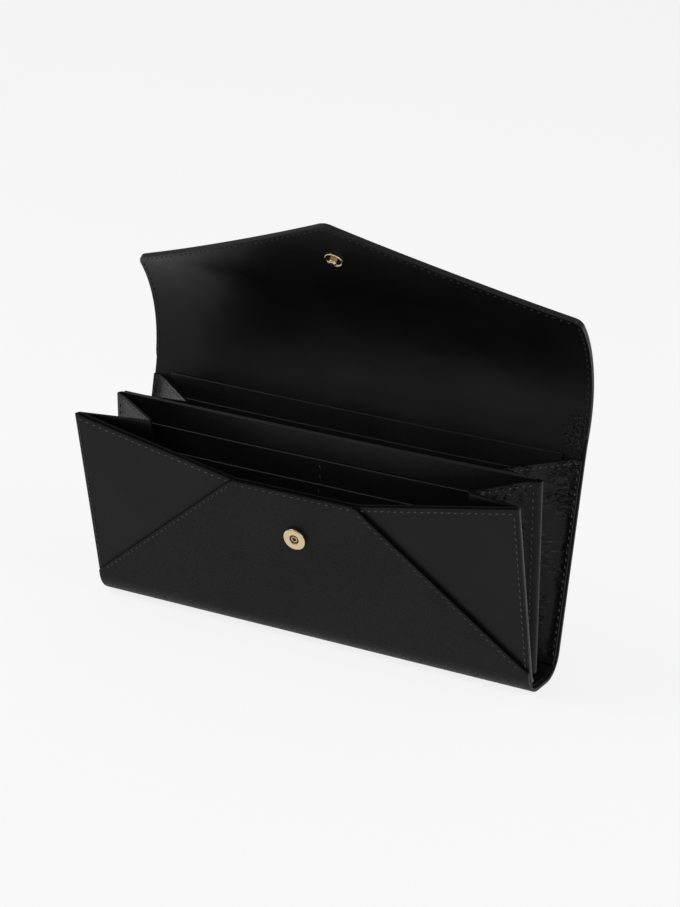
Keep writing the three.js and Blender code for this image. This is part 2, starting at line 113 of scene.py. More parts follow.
class MaterialWriter(NodeWriter):
    """Adds patterns, tones and relief to a new material with a Principled shader."""

    def __init__(self, name: str) -> None:
        """Start the material.

        Args:
            name: the material's name.
        """
        self.material = bpy.data.materials.new(name)
        self.material.use_nodes = True
        super().__init__(self.material.node_tree)
        output = self.add("ShaderNodeOutputMaterial")
        self.shader = self.add("ShaderNodeBsdfPrincipled")
        self.link(self.shader, "BSDF", output, "Surface")

    def texture(self, kind: str, place: bpy.types.Node, **values: object) -> bpy.types.Node:
        """Add a texture that is laid out by coordinates.

        Args:
            kind: the texture's kind, such as Noise.
            place: the node that gives the coordinates.
            **values: properties and sockets, as for add.

        Returns:
            The new node.
        """
        node = self.add(f"ShaderNodeTex{kind}", **values)
        self.link(place, "Vector", node, "Vector")
        return node

    def warped(self, place: bpy.types.Node, scale: float, reach: float) -> bpy.types.Node:
        """Shift coordinates by a noise.

        Args:
            place: the node that gives the coordinates.
            scale: the noise's scale.
            reach: how far it shifts at most.

        Returns:
            The node whose Vector output holds the shifted coordinates.
        """
        noise = self.texture("Noise", place, Scale=scale, Detail=2.0)
        shift = self.add("ShaderNodeVectorMath", operation="MULTIPLY_ADD")
        shift.inputs[1].default_value = (reach, reach, reach)
        self.link(noise, "Color", shift, 0)
        self.link(place, "Vector", shift, 2)
        return shift

    def object_coordinates(self, scale: float) -> bpy.types.Node:
        """Give Object coordinates multiplied by a scale.

        Args:
            scale: how many pattern units lie in a metre.

        Returns:
            A Mapping node.
        """
        source = self.add("ShaderNodeTexCoord")
        mapping = self.add("ShaderNodeMapping")
        mapping.inputs["Scale"].default_value = (scale, scale, scale)
        self.link(source, "Object", mapping, "Vector")
        return mapping

    def ramp(
        self, source: bpy.types.Node, out: str | int, stops: list[tuple[float, tuple]]
    ) -> bpy.types.Node:
        """Map a value to colours.

        Args:
            source: the node that gives the value.
            out: its output.
            stops: two positions with RGBA colours.

        Returns:
            A Color Ramp node.
        """
        node = self.add("ShaderNodeValToRGB")
        elements = node.color_ramp.elements
        elements[0].position, elements[0].color = stops[0]
        elements[1].position, elements[1].color = stops[1]
        self.link(source, out, node, "Fac")
        return node

    def tones(
        self, source: bpy.types.Node, out: str, colour: tuple, first: tuple, second: tuple
    ) -> bpy.types.Node:
        """Map a value to two tones of a colour.

        Args:
            source: the node that gives the value.
            out: its output.
            colour: the colour.
            first: the first tone's position and its brightness as a share of the colour's.
            second: the second tone's.

        Returns:
            A Color Ramp node.
        """
        stops = [(position, (*(c * share for c in colour), 1.0)) for position, share in (first, second)]
        return self.ramp(source, out, stops)

    def ranged(self, source: bpy.types.Node, out: str | int, low: float, high: float) -> bpy.types.Node:
        """Map a value from 0..1 to a range, clamped."""
        node = self.add("ShaderNodeMapRange")
        node.inputs["To Min"].default_value = low
        node.inputs["To Max"].default_value = high
        self.link(source, out, node, "Value")
        return node

    def bump(
        self, source: bpy.types.Node, out: str | int, height: float, under: bpy.types.Node | None
    ) -> bpy.types.Node:
        """Turn a height pattern into a normal.

        Args:
            source: the node that gives the height, from 0 to 1.
            out: its output.
            height: the pattern's depth in metres.
            under: a Bump node that this one adds to, or None.

        Returns:
            A Bump node.
        """
        node = self.add("ShaderNodeBump", Strength=1.0, Distance=height)
        self.link(source, out, node, "Height")
        if under is not None:
            self.link(under, "Normal", node, "Normal")
        return node


def grey(level: float) -> tuple[float, float, float, float]:
    """Give an RGBA grey."""
    return (level, level, level, 1.0)


@dataclass(frozen=True)
class LeatherFinish:
    """Grained leather: rounded pebbles with creases between them, fine pores and broad soft dents.

    Pattern scales are per millimetre, and depths are in millimetres.
    """

    name: str
    colour: tuple[float, float, float]
    pebble: float = 1.1
    pebble_depth: float = 0.05
    pore_depth: float = 0.015
    dent_depth: float = 0.25
    roughness: tuple[float, float] = (0.42, 0.6)
    specular: float = 0.35
    variation: float = 0.25
    crumple_depth: float = 0.0
    crumple_stretch: tuple[float, float, float] = (1.0, 1.0, 1.0)

    WARP_SCALE = 0.55
    PORE_SCALE = 4.5
    DENT_SCALE = 0.035
    CREASE_SCALE = 0.48
    CREASE_WARP_SCALE = 0.5
    CREASE_WARP = 1.6
    PATCH_SCALE = 0.06

    def material(self) -> bpy.types.Material:
        """Build the material.

        Returns:
            The material, with grain, pores and dents in its normal and rougher creases in the grain.
        """
        nodes = MaterialWriter(self.name)
        place = nodes.object_coordinates(1.0 / MM)
        shift = nodes.warped(place, self.WARP_SCALE / self.pebble, self.pebble)
        grain = {"feature": "SMOOTH_F1", "Scale": 1.0 / self.pebble, "Smoothness": 0.6}
        pebbles = nodes.texture("Voronoi", shift, **grain)
        rounded = nodes.ramp(pebbles, "Distance", [(0.1, grey(1.0)), (0.75, grey(0.0))])
        rounded.color_ramp.interpolation = "EASE"
        pores = nodes.texture("Noise", place, Scale=self.PORE_SCALE, Detail=4.0, Roughness=0.6)
        dents = nodes.texture("Noise", place, Scale=self.DENT_SCALE, Detail=2.0, Roughness=0.45)
        relief = nodes.bump(dents, "Fac", self.dent_depth * MM, None)
        if self.crumple_depth > 0:
            relief = self.crumple(nodes, place, relief)
        relief = nodes.bump(rounded, "Color", self.pebble_depth * MM, relief)
        relief = nodes.bump(pores, "Fac", self.pore_depth * MM, relief)
        nodes.link(relief, "Normal", nodes.shader, "Normal")
        darker, lighter = (0.3, 1 - self.variation), (0.7, 1 + self.variation)
        tone = nodes.tones(dents, "Fac", self.colour, darker, lighter)
        nodes.link(tone, "Color", nodes.shader, "Base Color")
        rough = nodes.ranged(rounded, "Color", self.roughness[1], self.roughness[0])
        nodes.link(rough, "Result", nodes.shader, "Roughness")
        nodes.shader.inputs["Specular IOR Level"].default_value = self.specular
        return nodes.material

    def crumple(
        self, nodes: MaterialWriter, place: bpy.types.Node, under: bpy.types.Node
    ) -> bpy.types.Node:
        """Add creases between small pillows of leather where the mesh's crumple attribute says so.

        Args:
            nodes: the material being built.
            place: Object coordinates in millimetres.
            under: the Bump node that the wrinkles add to.

        Returns:
            A Bump node.
        """
        mask = nodes.add("ShaderNodeAttribute", attribute_name="crumple")
        stretch = nodes.add("ShaderNodeMapping")
        stretch.inputs["Scale"].default_value = self.crumple_stretch
        nodes.link(place, "Vector", stretch, "Vector")
        shift = nodes.warped(stretch, self.CREASE_WARP_SCALE, self.CREASE_WARP)
        wrinkles = nodes.texture("Voronoi", shift, feature="DISTANCE_TO_EDGE", Scale=self.CREASE_SCALE)
        ridges = nodes.ramp(wrinkles, "Distance", [(0.0, grey(0.0)), (0.32, grey(1.0))])
        ridges.color_ramp.interpolation = "EASE"
        patches = nodes.texture("Noise", place, Scale=self.PATCH_SCALE, Detail=1.0)
        patchy = nodes.ramp(patches, "Fac", [(0.34, grey(0.15)), (0.5, grey(1.0))])
        strength = nodes.add("ShaderNodeMath", operation="MULTIPLY")
        nodes.link(patchy, "Color", strength, 0)
        nodes.link(mask, "Fac", strength, 1)
        masked = nodes.add("ShaderNodeMath", operation="MULTIPLY")
        nodes.link(ridges, "Color", masked, 0)
        nodes.link(strength, "Value", masked, 1)
        return nodes.bump(masked, "Value", self.crumple_depth * MM, under)


@dataclass(frozen=True)
class EdgeFinish:
    """Painted leather edge: smooth, slightly uneven, lightened above a height as a painted highlight and
    smoother there.
    """

    name: str
    colour: tuple[float, float, float]
    roughness: float = 0.38
    specular: float = 0.1
    unevenness: float = 0.06
    polished_above: float | None = None
    painted_highlight_reach: float = 12.0
    painted_highlight_gain: float = 6.0
    polish_smoothing: float = 0.75

    def material(self) -> bpy.types.Material:
        """Build the material."""
        nodes = MaterialWriter(self.name)
        place = nodes.object_coordinates(1.0 / MM)
        uneven = nodes.texture("Noise", place, Scale=0.9, Detail=2.0)
        relief = nodes.bump(uneven, "Fac", self.unevenness * MM, None)
        nodes.link(relief, "Normal", nodes.shader, "Normal")
        nodes.shader.inputs["Roughness"].default_value = self.roughness
        nodes.shader.inputs["Specular IOR Level"].default_value = self.specular
        if self.polished_above is None:
            tone = nodes.tones(uneven, "Fac", self.colour, (0.3, 0.8), (0.7, 1.3))
            nodes.link(tone, "Color", nodes.shader, "Base Color")
        else:
            self.polish(nodes, place)
        return nodes.material

    def polish(self, nodes: MaterialWriter, place: bpy.types.Node) -> None:
        """Lighten the paint gradually above a height as a painted highlight, and make it smoother there.

        Args:
            nodes: the material being built.
            place: Object coordinates in millimetres.
        """
        parts = nodes.add("ShaderNodeSeparateXYZ")
        nodes.link(place, "Vector", parts, "Vector")
        painted_highlight_share = nodes.add("ShaderNodeMapRange")
        painted_highlight_share.inputs["From Min"].default_value = self.polished_above
        painted_highlight_share.inputs["From Max"].default_value = self.polished_above + self.painted_highlight_reach
        nodes.link(parts, "Z", painted_highlight_share, "Value")
        # Painted highlight: the edge colour is brightened above the height, on the flap's rim.
        painted_highlight_colour = nodes.add("ShaderNodeMix", data_type="RGBA")
        painted_highlight_colour.inputs["A"].default_value = (*self.colour, 1.0)
        painted_highlight_colour.inputs["B"].default_value = (*(c * self.painted_highlight_gain for c in self.colour), 1.0)
        nodes.link(painted_highlight_share, "Result", painted_highlight_colour, "Factor")
        nodes.link(painted_highlight_colour, "Result", nodes.shader, "Base Color")
        smooth = nodes.add("ShaderNodeMapRange")
        smooth.inputs["To Min"].default_value = self.roughness
        smooth.inputs["To Max"].default_value = self.roughness * self.polish_smoothing
        nodes.link(painted_highlight_share, "Result", smooth, "Value")
        nodes.link(smooth, "Result", nodes.shader, "Roughness")


@dataclass(frozen=True)
class ThreadFinish:
    """Twisted polyester thread: fine slanting ridges along each stitch."""

    name: str
    colour: tuple[float, float, float]
    strand: float = 0.35
    strand_depth: float = 0.05
    roughness: float = 0.5

    def material(self) -> bpy.types.Material:
        """Build the material."""
        nodes = MaterialWriter(self.name)
        place = nodes.object_coordinates(1.0 / MM)
        bands = {"wave_type": "BANDS", "bands_direction": "DIAGONAL", "Scale": 1.0 / self.strand}
        twist = nodes.texture("Wave", place, **bands)
        relief = nodes.bump(twist, "Fac", self.strand_depth * MM, None)
        nodes.link(relief, "Normal", nodes.shader, "Normal")
        tone = nodes.tones(twist, "Fac", self.colour, (0.0, 0.6), (1.0, 1.25))
        nodes.link(tone, "Color", nodes.shader, "Base Color")
        nodes.shader.inputs["Roughness"].default_value = self.roughness
        return nodes.material


@dataclass(frozen=True)
class BrassFinish:
    """Pale polished brass with a slight bloom, and patina where the mesh's soil attribute says so."""

    name: str
    colour: tuple[float, float, float]
    patina: tuple[float, float, float] = (0.09, 0.05, 0.02)
    roughness: tuple[float, float] = (0.16, 0.3)
    mark_depth: float = 0.01

    def material(self) -> bpy.types.Material:
        """Build the material."""
        nodes = MaterialWriter(self.name)
        place = nodes.object_coordinates(1.0 / MM)
        bloom = nodes.texture("Noise", place, Scale=0.6, Detail=4.0)
        rough = nodes.ranged(bloom, "Fac", *self.roughness)
        nodes.link(rough, "Result", nodes.shader, "Roughness")
        tone = nodes.tones(bloom, "Fac", self.colour, (0.3, 0.9), (0.7, 1.0))
        soil = nodes.add("ShaderNodeAttribute", attribute_name="soil")
        aged = nodes.add("ShaderNodeMix", data_type="RGBA")
        nodes.link(soil, "Fac", aged, "Factor")
        nodes.link(tone, "Color", aged, 6)
        aged.inputs[7].default_value = (*self.patina, 1.0)
        nodes.link(aged, 2, nodes.shader, "Base Color")
        relief = nodes.bump(bloom, "Fac", self.mark_depth * MM, None)
        nodes.link(relief, "Normal", nodes.shader, "Normal")
        nodes.shader.inputs["Metallic"].default_value = 1.0
        return nodes.material


@dataclass(frozen=True)
class Finishes:
    """Every finish of the wallet."""

    shell: LeatherFinish = LeatherFinish(
        "shell leather", (0.0072, 0.0072, 0.0074), pebble=0.75, pebble_depth=0.016, pore_depth=0.008,
        specular=0.15,
    )
    bellows: LeatherFinish = LeatherFinish(
        "bellows leather", (0.0066, 0.0066, 0.0068), pebble=0.9, pebble_depth=0.014, roughness=(0.3, 0.42),
        specular=0.14, crumple_depth=1.3, crumple_stretch=(0.34, 0.34, 0.9),
    )
    lining: LeatherFinish = LeatherFinish(
        "flap lining leather", (0.0062, 0.0062, 0.0064), pebble=0.8, pebble_depth=0.0015, pore_depth=0.002,
        roughness=(0.33, 0.39), specular=0.15, dent_depth=0.8, crumple_depth=0.6,
    )
    # Black leather of the pockets, darkened as painted shade inside the wallet.
    pocket: LeatherFinish = LeatherFinish(
        "pocket leather darkened as painted shade", (0.0048, 0.0048, 0.005), pebble=0.8, pebble_depth=0.01, roughness=(0.32, 0.42),
        specular=0.2, dent_depth=0.5,
    )
    # The edge colour is brightened above 112 mm as a painted highlight on the flap's rim.
    edge: EdgeFinish = EdgeFinish(
        "painted edge", (0.003, 0.003, 0.0032), roughness=0.42, specular=0.1, polished_above=112.0,
    )
    hem: EdgeFinish = EdgeFinish("pocket hem", (0.01, 0.01, 0.0103), roughness=0.34, specular=0.22)
    thread: ThreadFinish = ThreadFinish("black thread", (0.055, 0.055, 0.055))
    # A copy of the thread brightened as painted glints, sewn on the side panels.
    seam_thread: ThreadFinish = ThreadFinish("seam thread brightened for painted glints", (0.085, 0.084, 0.082))
    # A copy of the thread darkened as painted shade, sewn round the flap and in the card rows.
    lining_thread: ThreadFinish = ThreadFinish("thread darkened for painted shade", (0.018, 0.018, 0.0183))
    brass: BrassFinish = BrassFinish("pale brass", (0.72, 0.57, 0.36))


@dataclass(frozen=True)
class WalletSizes:
    """The wallet's driving dimensions, in millimetres and radians."""

    half_width: float = 100.0
    front_lean: float = math.radians(16.5)
    back_lean: float = math.radians(8.1)
    divider_lean: float = math.radians(6.0)
    front_bend: float = 12.0
    back_bend: float = 11.0
    flat_front: float = 4.4
    flat_back: float = 4.46
    corner_height: float = 86.0
    hinge_height: float = 93.4
    outer_leather: float = 1.4
    bellows_leather: float = 1.0
    lining_leather: float = 0.8
    layer_gap: float = 0.3
    panel_top_half: float = 28.0
    panel_top_height: float = 70.9
    seam_foot_height: float = 10.9
    flap_fold_lean: float = math.radians(12.0)
    flap_tip_lean: float = math.radians(-42.0)
    flap_bend: float = 61.7
    flap_tip_length: float = 41.7
    flap_corner_round: float = 4.5
    flap_point_round: float = 6.0
    flap_skew: float = 3.6
    socket_height: float = 50.8
    stud_from_point: float = 19.1

    @property
    def front_arc(self) -> float:
        """Length of the front bottom bend on the outer face."""
        return self.front_bend * (math.pi / 2 - self.front_lean)

    @property
    def back_arc(self) -> float:
        """Length of the back bottom bend on the outer face."""
        return self.back_bend * (math.pi / 2 - self.back_lean)

    @property
    def floor_length(self) -> float:
        """Depth of the flat strip that the wallet stands on."""
        return self.flat_front + self.flat_back

    def front_rise(self, height: float) -> float:
        """Length along the front wall's outer face from its foot to a height."""
        foot = self.front_bend * (1 - math.sin(self.front_lean))
        return (height - foot) / math.cos(self.front_lean)

    def back_rise(self, height: float) -> float:
        """Length along the back wall's outer face from its foot to a height."""
        foot = self.back_bend * (1 - math.sin(self.back_lean))
        return (height - foot) / math.cos(self.back_lean)

    @property
    def back_foot(self) -> float:
        """Path length at the back wall's foot."""
        return self.floor_length + self.back_arc

    @property
    def hinge_way(self) -> float:
        """Path length at the flap's fold."""
        return self.back_foot + self.back_rise(self.hinge_height)

    @property
    def fold_stack(self) -> float:
        """Thickness of outer leather, lining and the air between them."""
        return self.outer_leather + self.layer_gap + self.lining_leather

    @property
    def flap_bend_length(self) -> float:
        """Length of the flap's bend on its outer face."""
        return (self.flap_bend + self.fold_stack / 2) * (self.flap_fold_lean - self.flap_tip_lean)


class SideProfile:
    """The outer leather's path seen from the wallet's end: down the front wall, under, and up to the flap."""

    STEP = 0.2

    def __init__(self, sizes: WalletSizes, knots: list[tuple[float, float]]) -> None:
        """Integrate the path.

        The tangent's angle runs straight between knots, so it gives lines and arcs. Y grows by the angle's
        cosine and Z by its sine, summed along the path, and the path passes the front edge of the flat floor at
        way zero.

        Args:
            sizes: the wallet's sizes.
            knots: way along the path with the tangent's angle from +Y there.
        """
        ways, angles = np.array(knots).T
        self.way = np.arange(ways[0], ways[-1], self.STEP)
        self.angle = np.interp(self.way, ways, angles)
        middle = (self.angle[1:] + self.angle[:-1]) / 2
        y = np.concatenate([[0.0], np.cumsum(np.cos(middle)) * self.STEP])
        z = np.concatenate([[0.0], np.cumsum(np.sin(middle)) * self.STEP])
        self.y = y - np.interp(0.0, self.way, y) - sizes.flat_front
        self.z = z - np.interp(0.0, self.way, z)

    def at(self, way: np.ndarray, depth: np.ndarray) -> tuple[np.ndarray, np.ndarray]:
        """Give Y and Z at a way along the path and a depth below the outer face.

        Args:
            way: distances along the path.
            depth: distances inwards, along the path's left-hand normal.

        Returns:
            Y and Z.
        """
        angle = np.interp(way, self.way, self.angle)
        y = np.interp(way, self.way, self.y) - depth * np.sin(angle)
        z = np.interp(way, self.way, self.z) + depth * np.cos(angle)
        return y, z


@dataclass(frozen=True)
class FlapPose:
    """The flap's lean at a place along the wallet: past the fold, below its tip and at its point."""

    fold_lean: float
    tip_lean: float
    point_lean: float


class WalletBody:
    """The curved surface that the outer leather and the lining share, lofted through three side views."""

    FOLD_SOFTNESS = 5.0
    REACH = 140.0

    def __init__(self, sizes: WalletSizes, left: FlapPose, middle: FlapPose, right: FlapPose) -> None:
        """Make the side views at the left end, the middle and the right end."""
        self.sizes = sizes
        self.profiles = [self.profile(pose) for pose in (left, middle, right)]

    def profile(self, pose: FlapPose) -> SideProfile:
        """Make one side view from the sizes and a pose of the flap."""
        s = self.sizes
        front = s.front_lean - math.pi / 2
        back = math.pi / 2 - s.back_lean
        soft = self.FOLD_SOFTNESS
        return SideProfile(s, [
            (-self.REACH, front),
            (-s.front_arc, front),
            (0.0, 0.0),
            (s.floor_length, 0.0),
            (s.back_foot, back),
            (s.hinge_way - soft, back),
            (s.hinge_way + soft, math.pi / 2 - pose.fold_lean),
            (s.hinge_way + s.flap_bend_length, math.pi / 2 - pose.tip_lean),
            (s.hinge_way + s.flap_bend_length + s.flap_tip_length, math.pi / 2 - pose.point_lean),
            (s.hinge_way + self.REACH, math.pi / 2 - pose.point_lean),
        ])

    def surface(self, x: np.ndarray, way: np.ndarray, depth: np.ndarray | float) -> np.ndarray:
        """Give points of a layer.

        The three side views are mixed with the parabola through the left end, the middle and the right end.

        Args:
            x: places along the wallet.
            way: ways along the side view.
            depth: depths below the outer face.

        Returns:
            An array of points, its last axis X, Y, Z.
        """
        x, way, depth = np.broadcast_arrays(x, way, depth)
        q = x / self.sizes.half_width
        shares = [q * (q - 1) / 2, 1 - q * q, q * (q + 1) / 2]
        y = np.zeros_like(q)
        z = np.zeros_like(q)
        for share, profile in zip(shares, self.profiles):
            py, pz = profile.at(way, depth)
            y = y + share * py
            z = z + share * pz
        return np.stack([x, y, z], axis=-1)


def mesh_object(name: str, points: np.ndarray, faces: np.ndarray) -> bpy.types.Object:
    """Make a smooth-shaded mesh object.

    Args:
        name: the piece's name.
        points: vertices by 3, in millimetres.
        faces: quads by 4.

    Returns:
        The new object, linked to the scene.
    """
    mesh = bpy.data.meshes.new(name)
    mesh.from_pydata((points * MM).tolist(), [], faces.tolist())
    mesh.polygons.foreach_set("use_smooth", np.ones(len(mesh.polygons), dtype=bool))
    mesh.update()
    piece = bpy.data.objects.new(name, mesh)
    bpy.context.scene.collection.objects.link(piece)
    return piece


def point_attribute(piece: bpy.types.Object, name: str, values: np.ndarray) -> None:
    """Store a value at each of a mesh's points, for its material.

    Args:
        piece: the piece.
        name: the attribute's name.
        values: one value a point, in the points' order.
    """
    attribute = piece.data.attributes.new(name, "FLOAT", "POINT")
    attribute.data.foreach_set("value", values.astype(np.float32).reshape(-1))


def sheet_object(name: str, points: np.ndarray, uv: np.ndarray, flip: bool = False) -> bpy.types.Object:
    """Make a mesh object from a grid of points.

    Args:
        name: the piece's name.
        points: rows by columns by 3, in millimetres.
        uv: rows by columns by 2, the flat leather's coordinates in millimetres.
        flip: turn the faces round.

    Returns:
        The new object, with a UV map of the flat leather.
    """
    rows, columns = points.shape[:2]
    number = np.arange(rows * columns).reshape(rows, columns)
    a, b, c, d = number[:-1, :-1], number[1:, :-1], number[1:, 1:], number[:-1, 1:]
    quads = np.stack([a, d, c, b] if flip else [a, b, c, d], axis=-1).reshape(-1, 4)
    piece = mesh_object(name, points.reshape(-1, 3), quads)
    layer = piece.data.uv_layers.new(name="flat")
    corners = uv.reshape(-1, 2)[quads.reshape(-1)] * MM
    layer.data.foreach_set("uv", corners.astype(np.float32).reshape(-1))
    return piece


EDGE_SHARE = 0.42
EDGE_SEGMENTS = 3
EDGE_ANGLE = math.radians(50)


def thicken(
    piece: bpy.types.Object,
    thickness: float,
    face: bpy.types.Material,
    edge: bpy.types.Material,
    offset: float = -1.0,
    rounding: float = 0.4,
    back: bpy.types.Material | None = None,
) -> None:
    """Give a sheet its thickness, rounded painted edges and materials.

    Args:
        piece: the sheet.
        thickness: the leather's thickness in millimetres.
        face: the leather's material.
        edge: the painted edge's material.
        offset: -1 thickens behind the surface, 0 on both sides, 1 in front.
        rounding: the radius of the edges in millimetres.
        back: the material of the sheet's other side, if it isn't the same.
    """
    for material in (face, edge, back or face):
        piece.data.materials.append(material)
    solid = piece.modifiers.new("thickness", "SOLIDIFY")
    solid.thickness = thickness * MM
    solid.offset = offset
    solid.use_even_offset = False
    solid.use_rim = True
    solid.material_offset_rim = 1
    solid.material_offset = 2
    bevel = piece.modifiers.new("edges", "BEVEL")
    bevel.width = min(rounding, thickness * EDGE_SHARE) * MM
    bevel.segments = EDGE_SEGMENTS
    bevel.limit_method = "ANGLE"
    bevel.angle_limit = EDGE_ANGLE
    bevel.harden_normals = False


def flatten_modifiers(piece: bpy.types.Object) -> None:
    """Apply a piece's modifiers, so that its mesh is final."""
    graph = bpy.context.evaluated_depsgraph_get()
    final = bpy.data.meshes.new_from_object(piece.evaluated_get(graph))
    piece.modifiers.clear()
    old = piece.data
    piece.data = final
    bpy.data.meshes.remove(old)


def spread(count: int) -> np.ndarray:
    """Give places from -1 to 1 that lie closer together towards both ends."""
    even, crowded = 0.55, 0.45
    t = np.linspace(-1.0, 1.0, count)
    return even * t + crowded * np.sin(t * math.pi / 2)


@dataclass
class StitchRun:
    """A row of lockstitches: bent threads on a line, each dipping into the leather at both ends."""

    name: str
    points: np.ndarray
    normals: np.ndarray
    pitch: float = 3.0
    fill: float = 0.46
    radius: float = 0.21
    rise: float = 0.17
    slant: float = math.radians(14)

    SIDES = 6
    RINGS = 7
    END_DIP = 0.6
    END_REACH = 0.96

    def build(self) -> tuple[np.ndarray, np.ndarray]:
        """Work out all stitches of the run at once.

        Each stitch is a tube whose middle line is straight seen from above and a flat arch seen from the side.
        Its height is the rise times one minus the fourth power of the distance from the middle, less a part of
        the radius towards the ends. The tube's radius shrinks at its ends by the root of one minus the sixth
        power.

        Returns:
            Vertices and quads.
        """
        steps = np.linalg.norm(np.diff(self.points, axis=0), axis=1)
        length = np.concatenate([[0.0], np.cumsum(steps)])
        count = max(1, int(length[-1] // self.pitch))
        middle = (np.arange(count) + 0.5) * length[-1] / count
        half = 0.5 * self.fill * length[-1] / count

        def sample(values: np.ndarray, where: np.ndarray) -> np.ndarray:
            """Give an array's values at lengths along the run."""
            return np.stack([np.interp(where, length, values[:, k]) for k in range(3)], axis=-1)

        centre = sample(self.points, middle)
        ahead = sample(self.points, middle + half) - sample(self.points, middle - half)
        ahead /= np.linalg.norm(ahead, axis=1, keepdims=True)
        up = sample(self.normals, middle)
        up -= ahead * np.sum(up * ahead, axis=1, keepdims=True)
        up /= np.linalg.norm(up, axis=1, keepdims=True)
        across = np.cross(up, ahead)
        along = ahead * math.cos(self.slant) + across * math.sin(self.slant)
        across = np.cross(up, along)
        t = np.linspace(-1, 1, self.RINGS)
        lift = self.rise * (1 - t ** 4) - self.radius * self.END_DIP * t ** 4
        size = self.radius * np.sqrt(np.clip(1 - (self.END_REACH * t) ** 6, 0, 1))
        turn = np.arange(self.SIDES) * 2 * math.pi / self.SIDES
        path = centre[:, None] + along[:, None] * (t * half)[None, :, None]
        path = path + up[:, None] * lift[None, :, None]
        ring = across[:, None, None] * np.cos(turn)[None, None, :, None]
        ring = ring + up[:, None, None] * np.sin(turn)[None, None, :, None]
        verts = path[:, :, None] + ring * size[None, :, None, None]
        block = np.arange(self.RINGS * self.SIDES).reshape(self.RINGS, self.SIDES)
        after = np.roll(block, -1, axis=1)
        sides = np.stack([block[:-1], after[:-1], after[1:], block[1:]], axis=-1).reshape(-1, 4)
        caps = self.cap_quads(block)
        faces = np.concatenate([sides, caps])
        shift = np.arange(count)[:, None, None] * self.RINGS * self.SIDES
        return verts.reshape(-1, 3), (faces[None] + shift).reshape(-1, 4)

    def cap_quads(self, block: np.ndarray) -> np.ndarray:
        """Close both ends of a six-sided tube with two quads each."""
        first, last = block[0], block[-1]
        return np.array([
            [first[3], first[2], first[1], first[0]],
            [first[0], first[5], first[4], first[3]],
            [last[0], last[1], last[2], last[3]],
            [last[3], last[4], last[5], last[0]],
        ])


def stitch_object(name: str, runs: list[StitchRun], material: bpy.types.Material) -> bpy.types.Object:
    """Join stitch runs in one piece.

    Args:
        name: the piece's name.
        runs: the rows of stitches.
        material: the thread.

    Returns:
        The new object.
    """
    verts: list[np.ndarray] = []
    faces: list[np.ndarray] = []
    base = 0
    for run in runs:
        v, f = run.build()
        verts.append(v)
        faces.append(f + base)
        base += len(v)
    piece = mesh_object(name, np.concatenate(verts), np.concatenate(faces))
    piece.data.materials.append(material)
    return piece


def run_on(surface: Callable[[np.ndarray, np.ndarray], np.ndarray], a: np.ndarray, b: np.ndarray, name: str,
           outward: float = 1.0, **options: float) -> StitchRun:
    """Lay a stitch run on a surface of two parameters.

    The normal is the cross product of the surface's slopes along its two parameters.

    Args:
        surface: gives points from two parameter arrays.
        a: first parameter along the run.
        b: second parameter along the run.
        name: the run's name.
        outward: 1 or -1, the side of the surface that the thread lies on.
        **options: fields of StitchRun.

    Returns:
        The run.
    """
    step = 1e-3
    points = surface(a, b)
    slope_a = surface(a + step, b) - points
    slope_b = surface(a, b + step) - points
    normals = np.cross(slope_a, slope_b) * outward
    normals /= np.linalg.norm(normals, axis=-1, keepdims=True)
    return StitchRun(name, points, normals, **options)


